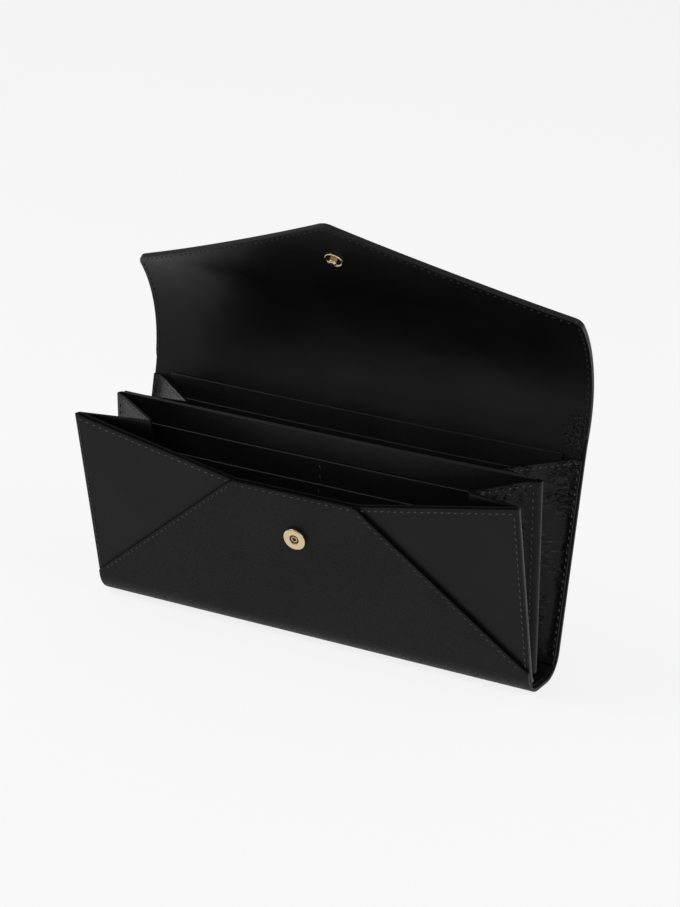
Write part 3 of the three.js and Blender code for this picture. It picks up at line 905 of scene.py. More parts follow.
@dataclass
class LongLeather:
    """One long leather of the body: front, bottom, back wall and flap, cut out of a single hide."""

    body: WalletBody
    sizes: WalletSizes = field(default_factory=WalletSizes)
    columns: int = 121

    def flap_end(self, x: np.ndarray, inset: float = 0.0) -> np.ndarray:
        """Give the way at which the flap ends above a place along the wallet.

        The outline is a straight slope from the corner to the point. A circle rounds the point, and another
        the corner, each taken where it lies inside the slope. The right end is cut longer than the left.

        Args:
            x: places along the wallet.
            inset: distance kept inside the outline.

        Returns:
            Ways along the side view.
        """
        s = self.sizes
        half = s.half_width - inset
        slope = math.atan2(s.flap_tip_length, s.half_width)
        top = s.flap_tip_length - inset / math.cos(slope)
        line = top - np.abs(x) * math.tan(slope)
        point = s.flap_point_round - inset
        tip = top - point / math.cos(slope) + np.sqrt(np.clip(point ** 2 - x ** 2, 0, None))
        line = np.where(np.abs(x) < point * math.sin(slope), tip, line)
        corner = s.flap_corner_round - inset
        start = half - corner
        base = top - start * math.tan(slope) - corner / math.cos(slope)
        arc = base + np.sqrt(np.clip(corner ** 2 - (np.abs(x) - start) ** 2, 0, None))
        line = np.where(np.abs(x) > start + corner * math.sin(slope), arc, line)
        return s.hinge_way + s.flap_bend_length + line + s.flap_skew * x / s.half_width

    def grid(self, x: np.ndarray, start: np.ndarray, end: np.ndarray) -> tuple[np.ndarray, np.ndarray]:
        """Make the leather's grid of ways: fixed rows over the bends, and stretched rows at both ends.

        Args:
            x: columns along the wallet.
            start: the way at which each column starts.
            end: the way at which it ends.

        Returns:
            X and way, rows by columns.
        """
        s = self.sizes
        before_fold, after_fold, before_tip = 8.0, 10.0, 4.0
        tip = s.hinge_way + s.flap_bend_length - s.flap_corner_round - s.flap_skew - before_tip
        flat = np.ones_like(x)
        stops = [
            start,
            -s.front_arc * flat,
            0.0 * flat,
            s.floor_length * flat,
            s.back_foot * flat,
            (s.hinge_way - before_fold) * flat,
            (s.hinge_way + after_fold) * flat,
            tip * flat,
            end,
        ]
        counts = [26, 9, 5, 9, 30, 12, 26, 22]
        parts = []
        for low, high, count in zip(stops[:-1], stops[1:], counts):
            t = np.linspace(0, 1, count + 1)[:-1, None]
            parts.append(low + (high - low) * t)
        parts.append(end[None])
        way = np.concatenate(parts)
        return np.broadcast_to(x, way.shape), way

    def sloped_edge(self, x: np.ndarray, side_height: float) -> np.ndarray:
        """Give the way of an edge that is level over the centre panel and slopes from there to the sides.

        Args:
            x: places along the wallet.
            side_height: the height that it has at the wallet's sides.

        Returns:
            Ways along the side view.
        """
        s = self.sizes
        top = s.front_rise(s.panel_top_height)
        side = s.front_rise(side_height)
        share = np.clip((np.abs(x) - s.panel_top_half) / (s.half_width - s.panel_top_half), 0, 1)
        return -s.front_arc - (top + (side - top) * share)

    def seam_start(self, x: np.ndarray) -> np.ndarray:
        """Give the way at which the centre panel starts: its top edge, and the seams to the side edges."""
        return self.sloped_edge(x, self.sizes.seam_foot_height)

    def mouth_start(self, x: np.ndarray, drop: float) -> np.ndarray:
        """Give the way at which the lining starts: along the V-shaped front edge of the mouth."""
        return self.sloped_edge(x, self.sizes.corner_height) + drop


class Shell(LongLeather):
    """The outer leather: centre panel, bottom fold, back wall and the flap's outer face."""

    def build(self, finishes: "Materials") -> bpy.types.Object:
        """Make the outer leather and bake its transform."""
        s = self.sizes
        x = spread(self.columns) * s.half_width
        xs, way = self.grid(x, self.seam_start(x), self.flap_end(x))
        points = self.body.surface(xs, way, 0.0)
        piece = sheet_object("shell_leather_sheet", points, np.stack([xs, way], axis=-1))
        thicken(piece, s.outer_leather, finishes.shell, finishes.edge)
        flatten_modifiers(piece)
        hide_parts("outer_shell", "flap_outer")
        hang_between(piece)
        return piece

    def face(self, depth: float) -> Callable[[np.ndarray, np.ndarray], np.ndarray]:
        """Give the layer's surface as a function of way and X."""
        return lambda way, x: self.body.surface(x, way, depth)

    def stitches(self, finishes: "Materials") -> list[bpy.types.Object]:
        """Sew the seams, the centre panel's top edge and the back wall's edges.

        Args:
            finishes: the materials.

        Returns:
            One piece with every stitch.
        """
        s = self.sizes
        face = self.face(0.0)
        inset = 1.3
        seam_slope = math.radians(40)
        panel_gap, side_gap = 1.0, 5.0
        under_foot, under_hinge = 2.0, 3.0
        runs = []
        t = np.linspace(0, 1, 60)
        for side in Side:
            x = side.value * (s.panel_top_half + panel_gap + t * (s.half_width - s.panel_top_half - side_gap))
            way = self.seam_start(x) + inset / math.cos(seam_slope)
            runs.append(run_on(face, way, x, f"seam_{side.name.lower()}"))
            x = np.full_like(t, side.value * (s.half_width - inset))
            way = s.back_foot - under_foot + t * (s.hinge_way - s.back_foot - under_hinge)
            runs.append(run_on(face, way, x, f"back_edge_{side.name.lower()}"))
        x = (2 * t - 1) * (s.panel_top_half - panel_gap)
        runs.append(run_on(face, self.seam_start(x * 0) + inset, x, "panel_top"))
        piece = stitch_object("shell_stitching", runs, finishes.thread)
        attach(piece, "body")
        return [piece]


class Lining(LongLeather):
    """The lining: behind the front panels, over the floor, up the back wall and over the flap's inner face."""

    BODY_GAP = 0.06
    FLAP_GAP = 0.03

    def depth(self, way: np.ndarray) -> np.ndarray:
        """Give the lining's depth below the outer face.

        It lies behind the side panels in front, and close to the outer leather from the floor on.

        Args:
            way: ways along the side view.

        Returns:
            Depths.
        """
        s = self.sizes
        past_bend, past_hinge = 1.0, 15.0
        behind = s.outer_leather + s.layer_gap + s.bellows_leather + s.layer_gap
        close = s.outer_leather + self.BODY_GAP
        on_flap = s.outer_leather + self.FLAP_GAP
        ways = [-s.front_arc - past_bend, past_bend, s.hinge_way - past_hinge, s.hinge_way + past_hinge]
        return np.interp(way, ways, [behind, close, close, on_flap])

    def half(self, way: np.ndarray) -> np.ndarray:
        """Give the lining's half width: inside the side panels' folds on the body, and full on the flap."""
        s = self.sizes
        below, above = 2.0, 5.0
        inside = s.half_width - s.bellows_leather - s.layer_gap
        return np.interp(way, [s.hinge_way - below, s.hinge_way + above], [inside, s.half_width])

    def inner(self, way: np.ndarray, x: np.ndarray) -> np.ndarray:
        """Give the lining's inner face."""
        return self.body.surface(x, way, self.depth(way) + self.sizes.lining_leather)

    def build(self, finishes: "Materials") -> bpy.types.Object:
        """Make the lining, creased near the fold's right end, and bake its transform."""
        s = self.sizes
        crease_height, crease_spread = 6.0, 7.0
        crease_from, crease_fade = 80.0, 16.0
        x = spread(self.columns) * s.half_width
        xs, way = self.grid(x, self.mouth_start(x, s.layer_gap), self.flap_end(x))
        xs = xs / s.half_width * self.half(way)
        points = self.body.surface(xs, way, self.depth(way))
        piece = sheet_object("lining_leather_sheet", points, np.stack([xs, way], axis=-1))
        near_fold = np.exp(-((way - s.hinge_way - crease_height) / crease_spread) ** 2)
        near_end = np.clip((xs - crease_from) / crease_fade, 0, 1) ** 2
        point_attribute(piece, "crumple", near_fold * near_end)
        thicken(piece, s.lining_leather, finishes.lining, finishes.edge)
        flatten_modifiers(piece)
        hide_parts("body_lining", "flap_lining")
        hang_between(piece)
        return piece

    def stitches(self, finishes: "Materials") -> list[bpy.types.Object]:
        """Sew round the flap, on its inner and its outer face.

        Args:
            finishes: the materials.

        Returns:
            One piece for each face.
        """
        s = self.sizes
        inset = 1.5
        above_fold, corner_gap, below_corner = 6.0, 2.0, 1.5
        near_corner = 0.995
        half = s.half_width - inset
        start = s.hinge_way + above_fold
        t = np.linspace(0, 1, 90)
        slope_x = (2 * t - 1) * (half - corner_gap)
        objects = []
        for name, outward, face in (
            ("flap_stitching_inner", 1.0, self.inner),
            ("flap_stitching_outer", -1.0, lambda way, x: self.body.surface(x, way, 0.0)),
        ):
            runs = [run_on(face, self.flap_end(slope_x, inset), slope_x, name, -outward)]
            for side in Side:
                x = np.full_like(t, side.value * half)
                end = self.flap_end(x[:1] * near_corner, inset)[0] - below_corner
                runs.append(run_on(face, start + t * (end - start), x, name, -outward))
            # The flap's stitches on both faces use the thread darkened as painted shade.
            piece = stitch_object(name, runs, finishes.lining_thread)
            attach(piece, "flap")
            objects.append(piece)
        return objects


def hang_between(piece: bpy.types.Object) -> None:
    """Bake a piece's transform into its mesh.

    Args:
        piece: the finished piece.
    """
    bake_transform(piece)


@dataclass
class Bellows:
    """One side panel: the triangle behind the centre panel's seam and the bellows that it folds into.

    The first and second fold are points at the mouth. The front shift moves the front edge outwards at its foot
    and at the mouth, and creased is how strongly the leather is crinkled.
    """

    side: Side
    sizes: WalletSizes
    first_fold: tuple[float, float, float]
    second_fold: tuple[float, float, float]
    front_shift: tuple[float, float]
    creased: float
    foot_height: float = 5.6
    pleat_half: float = 96.5
    pleat_flat: float = 5.0
    pinch_front: float = 2.6
    pinch_back: float = 0.6
    flange_depth: float = 2.8
    pleat_top: float = 89.2
    flange_width: float = 3.4
    flange_top: float = 89.0
    lap_mouth: float = 4.0
    lap_foot: float = 2.5
    leg_inside: float = 1.6
    second_share: float = 0.45
    rows: int = 49

    def wall_y(self, wall: int, depth: float, height: float | np.ndarray) -> float | np.ndarray:
        """Give a wall's Y at a depth below its outer face and a height.

        Args:
            wall: -1 for the front wall, 1 for the back wall.
            depth: depth below the outer face.
            height: height above the ground.

        Returns:
            Y.
        """
        s = self.sizes
        lean = s.front_lean if wall < 0 else s.back_lean
        flat = s.flat_front if wall < 0 else s.flat_back
        bend = s.front_bend if wall < 0 else s.back_bend
        foot_y = wall * (flat + (bend - depth) * math.cos(lean))
        foot_z = bend - (bend - depth) * math.sin(lean)
        return foot_y + wall * (height - foot_z) * math.tan(lean)

    def divider_y(self, near: float, height: float) -> float:
        """Give the Y of a place in front of the divider's leaning middle plane."""
        lean = self.sizes.divider_lean
        return -height * math.tan(lean) - near / math.cos(lean)

    def corners(self, mouth: bool) -> np.ndarray:
        """Give the fold line's corner points at the bellows' foot or at its mouth.

        Args:
            mouth: True at the mouth, False at the foot.

        Returns:
            Eleven points: the hidden seam lap, the front corner, its turn, the first fold, the middle pleat's
            four corners, the second fold, and the flange's two edges on the back wall.
        """
        s = self.sizes
        foot = self.foot_height
        panel_depth = self.panel_depth()
        leg_depth = panel_depth + s.bellows_leather + s.lining_leather + 2 * s.layer_gap
        row_pitch = s.lining_leather + s.layer_gap
        pleat_front = s.layer_gap / 2 + 3 * row_pitch + s.bellows_leather / 2
        pleat_back = s.layer_gap / 2 + row_pitch + s.bellows_leather / 2
        edge = s.half_width - s.bellows_leather / 2
        front_edge = edge + self.front_shift[1 if mouth else 0]
        front_z = s.corner_height if mouth else foot
        pleat_z = self.pleat_top if mouth else foot
        back_z = self.flange_top if mouth else foot
        lap_x = s.panel_top_half - self.lap_mouth if mouth else edge - self.lap_foot
        slope = (s.corner_height - s.panel_top_height) / (s.half_width - s.panel_top_half)
        lap_z = s.corner_height - (s.half_width - lap_x) * slope if mouth else foot
        before, behind = self.divider_y(pleat_front, pleat_z), self.divider_y(-pleat_back, pleat_z)
        front_y = self.wall_y(-1, leg_depth, front_z)
        back_y = self.wall_y(1, self.flange_depth, back_z)
        if mouth:
            first, second = self.first_fold, self.second_fold
        else:
            first = (self.first_fold[0], (front_y + before) / 2, foot)
            second = (self.second_fold[0], behind + (back_y - behind) * self.second_share, foot)
        return np.array([
            (lap_x, self.wall_y(-1, panel_depth, lap_z), lap_z),
            (front_edge, self.wall_y(-1, panel_depth, front_z), front_z),
            (front_edge, front_y, front_z),
            first,
            (self.pleat_half - self.pleat_flat, before, pleat_z),
            (self.pleat_half, before + self.pinch_front, pleat_z),
            (self.pleat_half, behind - self.pinch_back, pleat_z),
            (self.pleat_half - self.pleat_flat, behind, pleat_z),
            second,
            (edge - self.flange_width, back_y, back_z),
            (edge, back_y, back_z),
        ])

    ROUNDING = [0.0, 0.98, 0.98, 1.6, 2.0, 1.2, 1.2, 2.0, 1.6, 1.5, 0.0]
    STRAIGHT = [22, 1, 12, 10, 4, 4, 4, 10, 14, 4]
    ARC = 7
    ARC_SHARE = 0.49
    CREASE_PLACES = [0.24, 0.27, 0.46, 0.49, 0.69, 0.73, 0.95, 1.0]
    CREASE_LEVELS = [0.0, 0.5, 0.5, 0.05, 0.05, 1.0, 1.0, 0.3]
    CREASE_FOOT = 0.12
    CREASE_GAIN = 0.88
    CREASE_POWER = 1.2
    NO_LIMIT = 200.0

    def weights(self) -> np.ndarray:
        """Mix corner points into a line with rounded corners.

        Each corner is a quadratic curve between a point on the leg before it and one on the leg after it, at
        the rounding's distance from the corner. Between corners the line is straight.

        Returns:
            Samples by corner points.
        """
        mouth = self.corners(True)
        legs = np.linalg.norm(np.diff(mouth, axis=0), axis=1)
        count = len(mouth)
        unit = np.eye(count)
        rows = []

        def leg_point(k: int, share: float) -> np.ndarray:
            """Mix a leg's two corners."""
            return unit[k] * (1 - share) + unit[k + 1] * share

        for k in range(count - 1):
            first = min(self.ROUNDING[k] / legs[k], self.ARC_SHARE)
            last = 1 - min(self.ROUNDING[k + 1] / legs[k], self.ARC_SHARE)
            for t in np.linspace(first, last, self.STRAIGHT[k] + 1):
                rows.append(leg_point(k, t))
            if k < count - 2:
                start = rows[-1]
                end = leg_point(k + 1, min(self.ROUNDING[k + 1] / legs[k + 1], self.ARC_SHARE))
                for t in np.linspace(0, 1, self.ARC)[1:-1]:
                    rows.append((1 - t) ** 2 * start + 2 * t * (1 - t) * unit[k + 1] + t * t * end)
        return np.array(rows)

    def mouth_share(self) -> np.ndarray:
        """Give the rows' places from foot to mouth."""
        return np.linspace(0, 1, self.rows)

    def points(self, share: np.ndarray) -> np.ndarray:
        """Give the bellows' middle surface.

        Args:
            share: the rows' places from foot (0) to mouth (1).

        Returns:
            Rows by samples by 3.
        """
        foot, mouth = self.corners(False), self.corners(True)
        line = self.weights()
        low, high = line @ foot, line @ mouth
        surface = low[None] + (high - low)[None] * share[:, None, None]
        surface[..., 0] *= self.side.value
        samples = np.arange(surface.shape[1])
        lap_end = self.STRAIGHT[0] + self.ARC
        depth = self.panel_depth()
        front_depth = np.where(samples < lap_end, depth, depth + self.leg_inside)
        front = self.bend_y(-1, front_depth, surface[..., 2])
        back = self.bend_y(1, self.flange_depth, surface[..., 2])
        surface[..., 1] = np.clip(surface[..., 1], front, back)
        return surface

    def panel_depth(self) -> float:
        """Give the depth of the side panel's middle surface below the shell's outer face."""
        s = self.sizes
        return s.outer_leather + s.layer_gap + s.bellows_leather / 2

    def bend_y(self, wall: int, depth: float | np.ndarray, height: np.ndarray) -> np.ndarray:
        """Give the Y where a layer at a depth meets the round bottom bend, and no limit above the bend.

        The bend is a quarter circle of radius R about (wall * flat, R). A layer at depth d follows the circle
        of radius R - d, so at height z it stands at y = wall * (flat + sqrt((R - d)^2 - (R - z)^2)).

        Args:
            wall: -1 for the front wall, 1 for the back wall.
            depth: depth below the outer face.
            height: heights above the ground.

        Returns:
            Y.
        """
        s = self.sizes
        flat = s.flat_front if wall < 0 else s.flat_back
        bend = s.front_bend if wall < 0 else s.back_bend
        lean = s.front_lean if wall < 0 else s.back_lean
        radius = bend - depth
        reach = np.sqrt(np.maximum(radius ** 2 - (bend - height) ** 2, 0.0))
        straight = height > bend - radius * math.sin(lean)
        return np.where(straight, wall * self.NO_LIMIT, wall * (flat + reach))

    def build(self, finishes: "Materials") -> bpy.types.Object:
        """Make the side panel in place of its plain solid."""
        name = self.side.name.lower()
        points = self.points(self.mouth_share())
        step = np.linalg.norm(np.diff(points[-1], axis=0), axis=1)
        along = np.concatenate([[0.0], np.cumsum(step)])
        uv = np.stack(np.broadcast_arrays(along[None], points[..., 2]), axis=-1)
        piece = sheet_object(f"bellows_{name}", points, uv, flip=self.side is Side.RIGHT)
        legs = np.arange(points.shape[1]) / points.shape[1]
        height = self.mouth_share()[:, None]
        creased = np.interp(legs, self.CREASE_PLACES, self.CREASE_LEVELS)
        creased = creased * (self.CREASE_FOOT + self.CREASE_GAIN * height ** self.CREASE_POWER)
        point_attribute(piece, "crumple", creased * self.creased)
        leather = self.sizes.bellows_leather
        # The side panel's inner face takes the darker pocket leather as painted shade.
        thicken(piece, leather, finishes.bellows, finishes.edge, 0.0, rounding=0.25, back=finishes.pocket)
        flatten_modifiers(piece)
        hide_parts(f"side_panel_{name}")
        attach(piece, "body")
        return piece

    def stitches(self, finishes: "Materials") -> bpy.types.Object:
        """Sew the triangle's top and side edges, the bellows' mouth, the middle pleat and the flange.

        Args:
            finishes: the materials.

        Returns:
            One piece with every stitch.
        """
        surface = self.points(self.mouth_share())
        rows, samples = surface.shape[:2]
        step_r = np.gradient(surface, axis=0)
        step_s = np.gradient(surface, axis=1)
        normals = np.cross(step_s, step_r) * self.side.value
        normals /= np.linalg.norm(normals, axis=-1, keepdims=True)
        face = surface + normals * self.sizes.bellows_leather / 2

        def at(values: np.ndarray, row: np.ndarray, column: np.ndarray) -> np.ndarray:
            """Give an array's values between its rows and columns."""
            r0 = np.clip(row.astype(int), 0, rows - 2)
            c0 = np.clip(column.astype(int), 0, samples - 2)
            fr, fc = (row - r0)[:, None], (column - c0)[:, None]
            low = values[r0, c0] * (1 - fc) + values[r0, c0 + 1] * fc
            high = values[r0 + 1, c0] * (1 - fc) + values[r0 + 1, c0 + 1] * fc
            return low * (1 - fr) + high * fr

        starts = np.cumsum([0] + [n + self.ARC - 1 for n in self.STRAIGHT]).astype(float)
        inset, mouth_pitch, mouth_slant = 1.7, 2.6, math.radians(20)
        below_mouth = (rows - 1) * (1 - inset / self.pleat_top)
        runs = self.triangle_runs()
        mouth = (
            (starts[2] + 1.0, starts[3] - self.ARC, "front_leg"),
            (starts[3], starts[4] + 2.0, "pleat_leg"),
            (starts[8], starts[9] + 3.0, "rear_leg"),
        )
        for low, high, name in mouth:
            column = np.linspace(low, high, 60)
            row = np.full_like(column, below_mouth)
            place, up = at(face, row, column), at(normals, row, column)
            runs.append(StitchRun(name, place, up, pitch=mouth_pitch, slant=mouth_slant))
        for column_at, name in ((starts[4] + 1.6, "pleat"), (starts[9] + 2.2, "flange")):
            row = np.linspace(1.5, below_mouth - 1.0, 60)
            column = np.full_like(row, column_at)
            runs.append(StitchRun(name, at(face, row, column), at(normals, row, column)))
        # The side panels' stitches use the thread brightened as painted glints.
        piece = stitch_object(f"bellows_stitching_{self.side.name.lower()}", runs, finishes.seam_thread)
        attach(piece, "body")
        return piece

    def triangle_runs(self) -> list[StitchRun]:
        """Sew the front triangle along its sloping top edge and its outer side."""
        s = self.sizes
        inset, end_gap = 1.7, 1.5
        t = np.linspace(0, 1, 60)
        face_depth = s.outer_leather + s.layer_gap
        normal = np.array([0.0, -math.cos(s.front_lean), -math.sin(s.front_lean)])
        slope = (s.corner_height - s.panel_top_height) / (s.half_width - s.panel_top_half)
        corner_x = s.half_width - inset + self.front_shift[1]
        top_x = s.panel_top_half + end_gap + t * (corner_x - s.panel_top_half - end_gap)
        top_z = s.corner_height - (s.half_width - top_x) * slope - inset
        side_x = s.half_width - inset + self.front_shift[0] * (1 - t) + self.front_shift[1] * t
        side_length = s.corner_height - s.seam_foot_height - 2 * inset - end_gap
        side_z = s.seam_foot_height + inset + t * side_length
        runs = []
        for name, x, z in (("triangle_top", top_x, top_z), ("triangle_side", side_x, side_z)):
            points = np.stack([x * self.side.value, self.wall_y(-1, face_depth, z), z], axis=-1)
            runs.append(StitchRun(name, points, np.broadcast_to(normal, points.shape).copy()))
        return runs


@dataclass
class PlaneSheet:
    """A flat leather of the divider or of the back wall's pockets, with a slightly bowed top edge."""

    node: str
    origin: tuple[float, float]
    lean: float
    half: float
    low: float
    high: float
    thickness: float
    facing: int
    bow: float = 0.35
    sag: float = 0.5
    stitch_depth: float = 9.0
    centre_stitch: bool = True

    COLUMNS = 61
    ROWS = 25
    CROWDING = 1.6

    def surface(self, rise: np.ndarray, x: np.ndarray) -> np.ndarray:
        """Give the sheet's face that looks into the wallet.

        The sheet stands off its plane by a bow, the product of a parabola across each half and the square of
        the way up, so that a row opens a little at its top between its stitched middle and its ends. Its top
        edge sags by another parabola.

        Args:
            rise: way up the plane.
            x: place along the wallet.

        Returns:
            Points.
        """
        share = np.clip((rise - self.low) / (self.high - self.low), 0, 1)
        across = np.abs(x) / self.half
        hump = 4 * across * (1 - across) if self.centre_stitch else 1 - across ** 2
        out = self.facing * self.bow * hump * share ** 2
        up = rise - self.sag * (1 - across ** 2) * share ** 4
        y = self.origin[0] + up * math.sin(self.lean) + out * math.cos(self.lean)
        z = self.origin[1] + up * math.cos(self.lean) - out * math.sin(self.lean)
        return np.stack(np.broadcast_arrays(x, y, z), axis=-1)

    def build(self, material: bpy.types.Material, edge: bpy.types.Material) -> bpy.types.Object:
        """Make the sheet in place of its plain solid."""
        x = spread(self.COLUMNS) * self.half
        t = np.linspace(0, 1, self.ROWS)
        rise = self.low + (self.high - self.low) * (1 - (1 - t) ** self.CROWDING)
        xs, rises = np.meshgrid(x, rise)
        points = self.surface(rises, xs)
        uv = np.stack([xs, rises], axis=-1)
        piece = sheet_object(f"{self.node}_leather", points, uv, flip=self.facing < 0)
        thicken(piece, self.thickness, material, edge, rounding=0.3)
        flatten_modifiers(piece)
        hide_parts(self.node)
        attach(piece, "body")
        return piece

    def stitch_runs(self) -> list[StitchRun]:
        """Sew the middle of a card row, near its top."""
        top_gap, radius = 1.2, 0.22
        t = np.linspace(0, 1, 12)
        rise = self.high - top_gap - t * self.stitch_depth
        middle = np.zeros_like(t)
        return [run_on(self.surface, rise, middle, self.node, float(self.facing), radius=radius)]


@dataclass
class Pockets:
    """The divider's leaves and card rows, and the pocket and card rows on the back wall.

    Heights run from a sheet's foot to its top edge. The rows are listed from the upper one to the lower one.
    """

    sizes: WalletSizes
    leaf_half: float = 94.2
    leaf_heights: tuple[float, float] = (10.0, 90.2)
    row_margin: float = 4.0
    row_heights: tuple[tuple[float, float], ...] = ((22.6, 79.6), (12.2, 69.2))
    slip_half: float = 91.0
    slip_heights: tuple[float, float] = (10.0, 90.3)
    slip_bow: float = 0.2
    rear_halves: tuple[float, float] = (88.0, 87.0)
    rear_heights: tuple[tuple[float, float], ...] = ((10.0, 81.2), (10.0, 70.7))

    def divider_sheet(
        self, node: str, near: float, half: float, heights: tuple[float, float], facing: int
    ) -> PlaneSheet:
        """Place a sheet of the divider.

        Args:
            node: the sheet's node.
            near: distance of its visible face before the divider's middle plane.
            half: half of its width.
            heights: heights of its foot and its top.
            facing: -1 where the face looks to the front, 1 to the back.

        Returns:
            The sheet.
        """
        lean = self.sizes.divider_lean
        origin = (-near * math.cos(lean), -near * math.sin(lean))
        low, high = (height / math.cos(lean) for height in heights)
        return PlaneSheet(node, origin, -lean, half, low, high, self.sizes.lining_leather, facing)

    def rear_sheet(
        self, node: str, depth: float, half: float, heights: tuple[float, float]
    ) -> PlaneSheet:
        """Place a sheet on the back wall.

        Args:
            node: the sheet's node.
            depth: depth of its visible face below the wall's outer face.
            half: half of its width.
            heights: heights of its foot and its top.

        Returns:
            The sheet.
        """
        s = self.sizes
        lean = s.back_lean
        out = s.back_bend - depth
        foot = (s.flat_back + out * math.cos(lean), s.back_bend - out * math.sin(lean))
        low, high = (s.back_rise(height) for height in heights)
        return PlaneSheet(node, foot, lean, half, low, high, s.lining_leather, -1)

    def sheets(self) -> list[PlaneSheet]:
        """List every sheet."""
        s = self.sizes
        pitch = s.lining_leather + s.layer_gap
        gap = s.layer_gap / 2
        near = gap + s.lining_leather
        slip = s.outer_leather + 2 * s.layer_gap + 2 * s.lining_leather
        front_leaf = self.divider_sheet("divider_leaf_front", near, self.leaf_half, self.leaf_heights, -1)
        back_leaf = self.divider_sheet("divider_leaf_back", -near, self.leaf_half, self.leaf_heights, 1)
        slip_pocket = self.rear_sheet("rear_slip_pocket", slip, self.slip_half, self.slip_heights)
        for sheet, bow in ((front_leaf, 0.0), (back_leaf, 0.0), (slip_pocket, self.slip_bow)):
            sheet.centre_stitch = False
            sheet.bow = bow
        divider_rows = []
        rear_rows = []
        for number, heights in enumerate(self.row_heights, start=1):
            before = gap + (number + 1) * pitch - s.layer_gap
            half = self.leaf_half - self.row_margin
            divider_rows.append(self.divider_sheet(f"divider_card_row_{number}", before, half, heights, -1))
        for number, (half, heights) in enumerate(zip(self.rear_halves, self.rear_heights), start=1):
            rear_rows.append(self.rear_sheet(f"rear_card_row_{number}", slip + number * pitch, half, heights))
        return [front_leaf, back_leaf, *divider_rows, slip_pocket, *rear_rows]

    def build(self, finishes: "Materials") -> list[bpy.types.Object]:
        """Make every sheet and the stitches in the middle of the card rows."""
        sheets = self.sheets()
        # The pocket sheets take the leather darkened as painted shade.
        made = [sheet.build(finishes.pocket, finishes.hem) for sheet in sheets]
        runs = [run for sheet in sheets if "card_row" in sheet.node for run in sheet.stitch_runs()]
        # The card rows' stitches use the thread darkened as painted shade.
        stitches = stitch_object("card_row_stitching", runs, finishes.lining_thread)
        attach(stitches, "body")
        return [*made, stitches]


@dataclass
class TurnedPart:
    """A part made on a lathe: its profile holds radius, height and how much patina has gathered there."""

    node: str
    profile: list[tuple[float, float, float]]
    seat: np.ndarray
    axis: np.ndarray
    rides: str
    closed: bool = False
    cut: float = 0.16
    steps: int = 56

    def softened(self) -> np.ndarray:
        """Round the profile's corners.

        Each corner becomes a quadratic curve between points at the cut's distance on its two legs, at most at
        their middles.

        Returns:
            Profile points.
        """
        points = np.array(self.profile)
        if self.closed:
            return points
        before, corner, after = points[:-2], points[1:-1], points[2:]
        t = np.linspace(0, 1, 5)[None, :, None]

        def towards(other: np.ndarray) -> np.ndarray:
            """Give points at the cut's distance from the corners towards others."""
            length = np.linalg.norm((other - corner)[:, :2], axis=1, keepdims=True)
            return corner + (other - corner) * np.minimum(0.5, self.cut / np.maximum(length, 1e-6))

        start, end = towards(before)[:, None], towards(after)[:, None]
        curve = (1 - t) ** 2 * start + 2 * t * (1 - t) * corner[:, None] + t ** 2 * end
        return np.concatenate([points[:1], curve.reshape(-1, 3), points[-1:]])

    def build(self, material: bpy.types.Material) -> bpy.types.Object:
        """Turn the profile about its axis.

        Args:
            material: the metal.

        Returns:
            The new object, in place of its plain solid.
        """
        line = self.softened()
        up = self.axis / np.linalg.norm(self.axis)
        side = np.array([1.0, 0.0, 0.0])
        third = np.cross(up, side)
        angle = np.arange(self.steps) * 2 * math.pi / self.steps
        spoke = side * np.cos(angle)[:, None] + third * np.sin(angle)[:, None]
        points = self.seat + spoke[None] * line[:, None, :1] + up * line[:, None, 1:2]
        number = np.arange(len(line) * self.steps).reshape(len(line), self.steps)
        after = np.roll(number, -1, axis=1)
        quads = np.stack([number[:-1], after[:-1], after[1:], number[1:]], axis=-1).reshape(-1, 4)
        piece = mesh_object(f"{self.node}_turned", points.reshape(-1, 3), quads)
        point_attribute(piece, "soil", np.repeat(line[:, 2], self.steps))
        piece.data.materials.append(material)
        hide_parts(self.node)
        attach(piece, self.rides)
        return piece


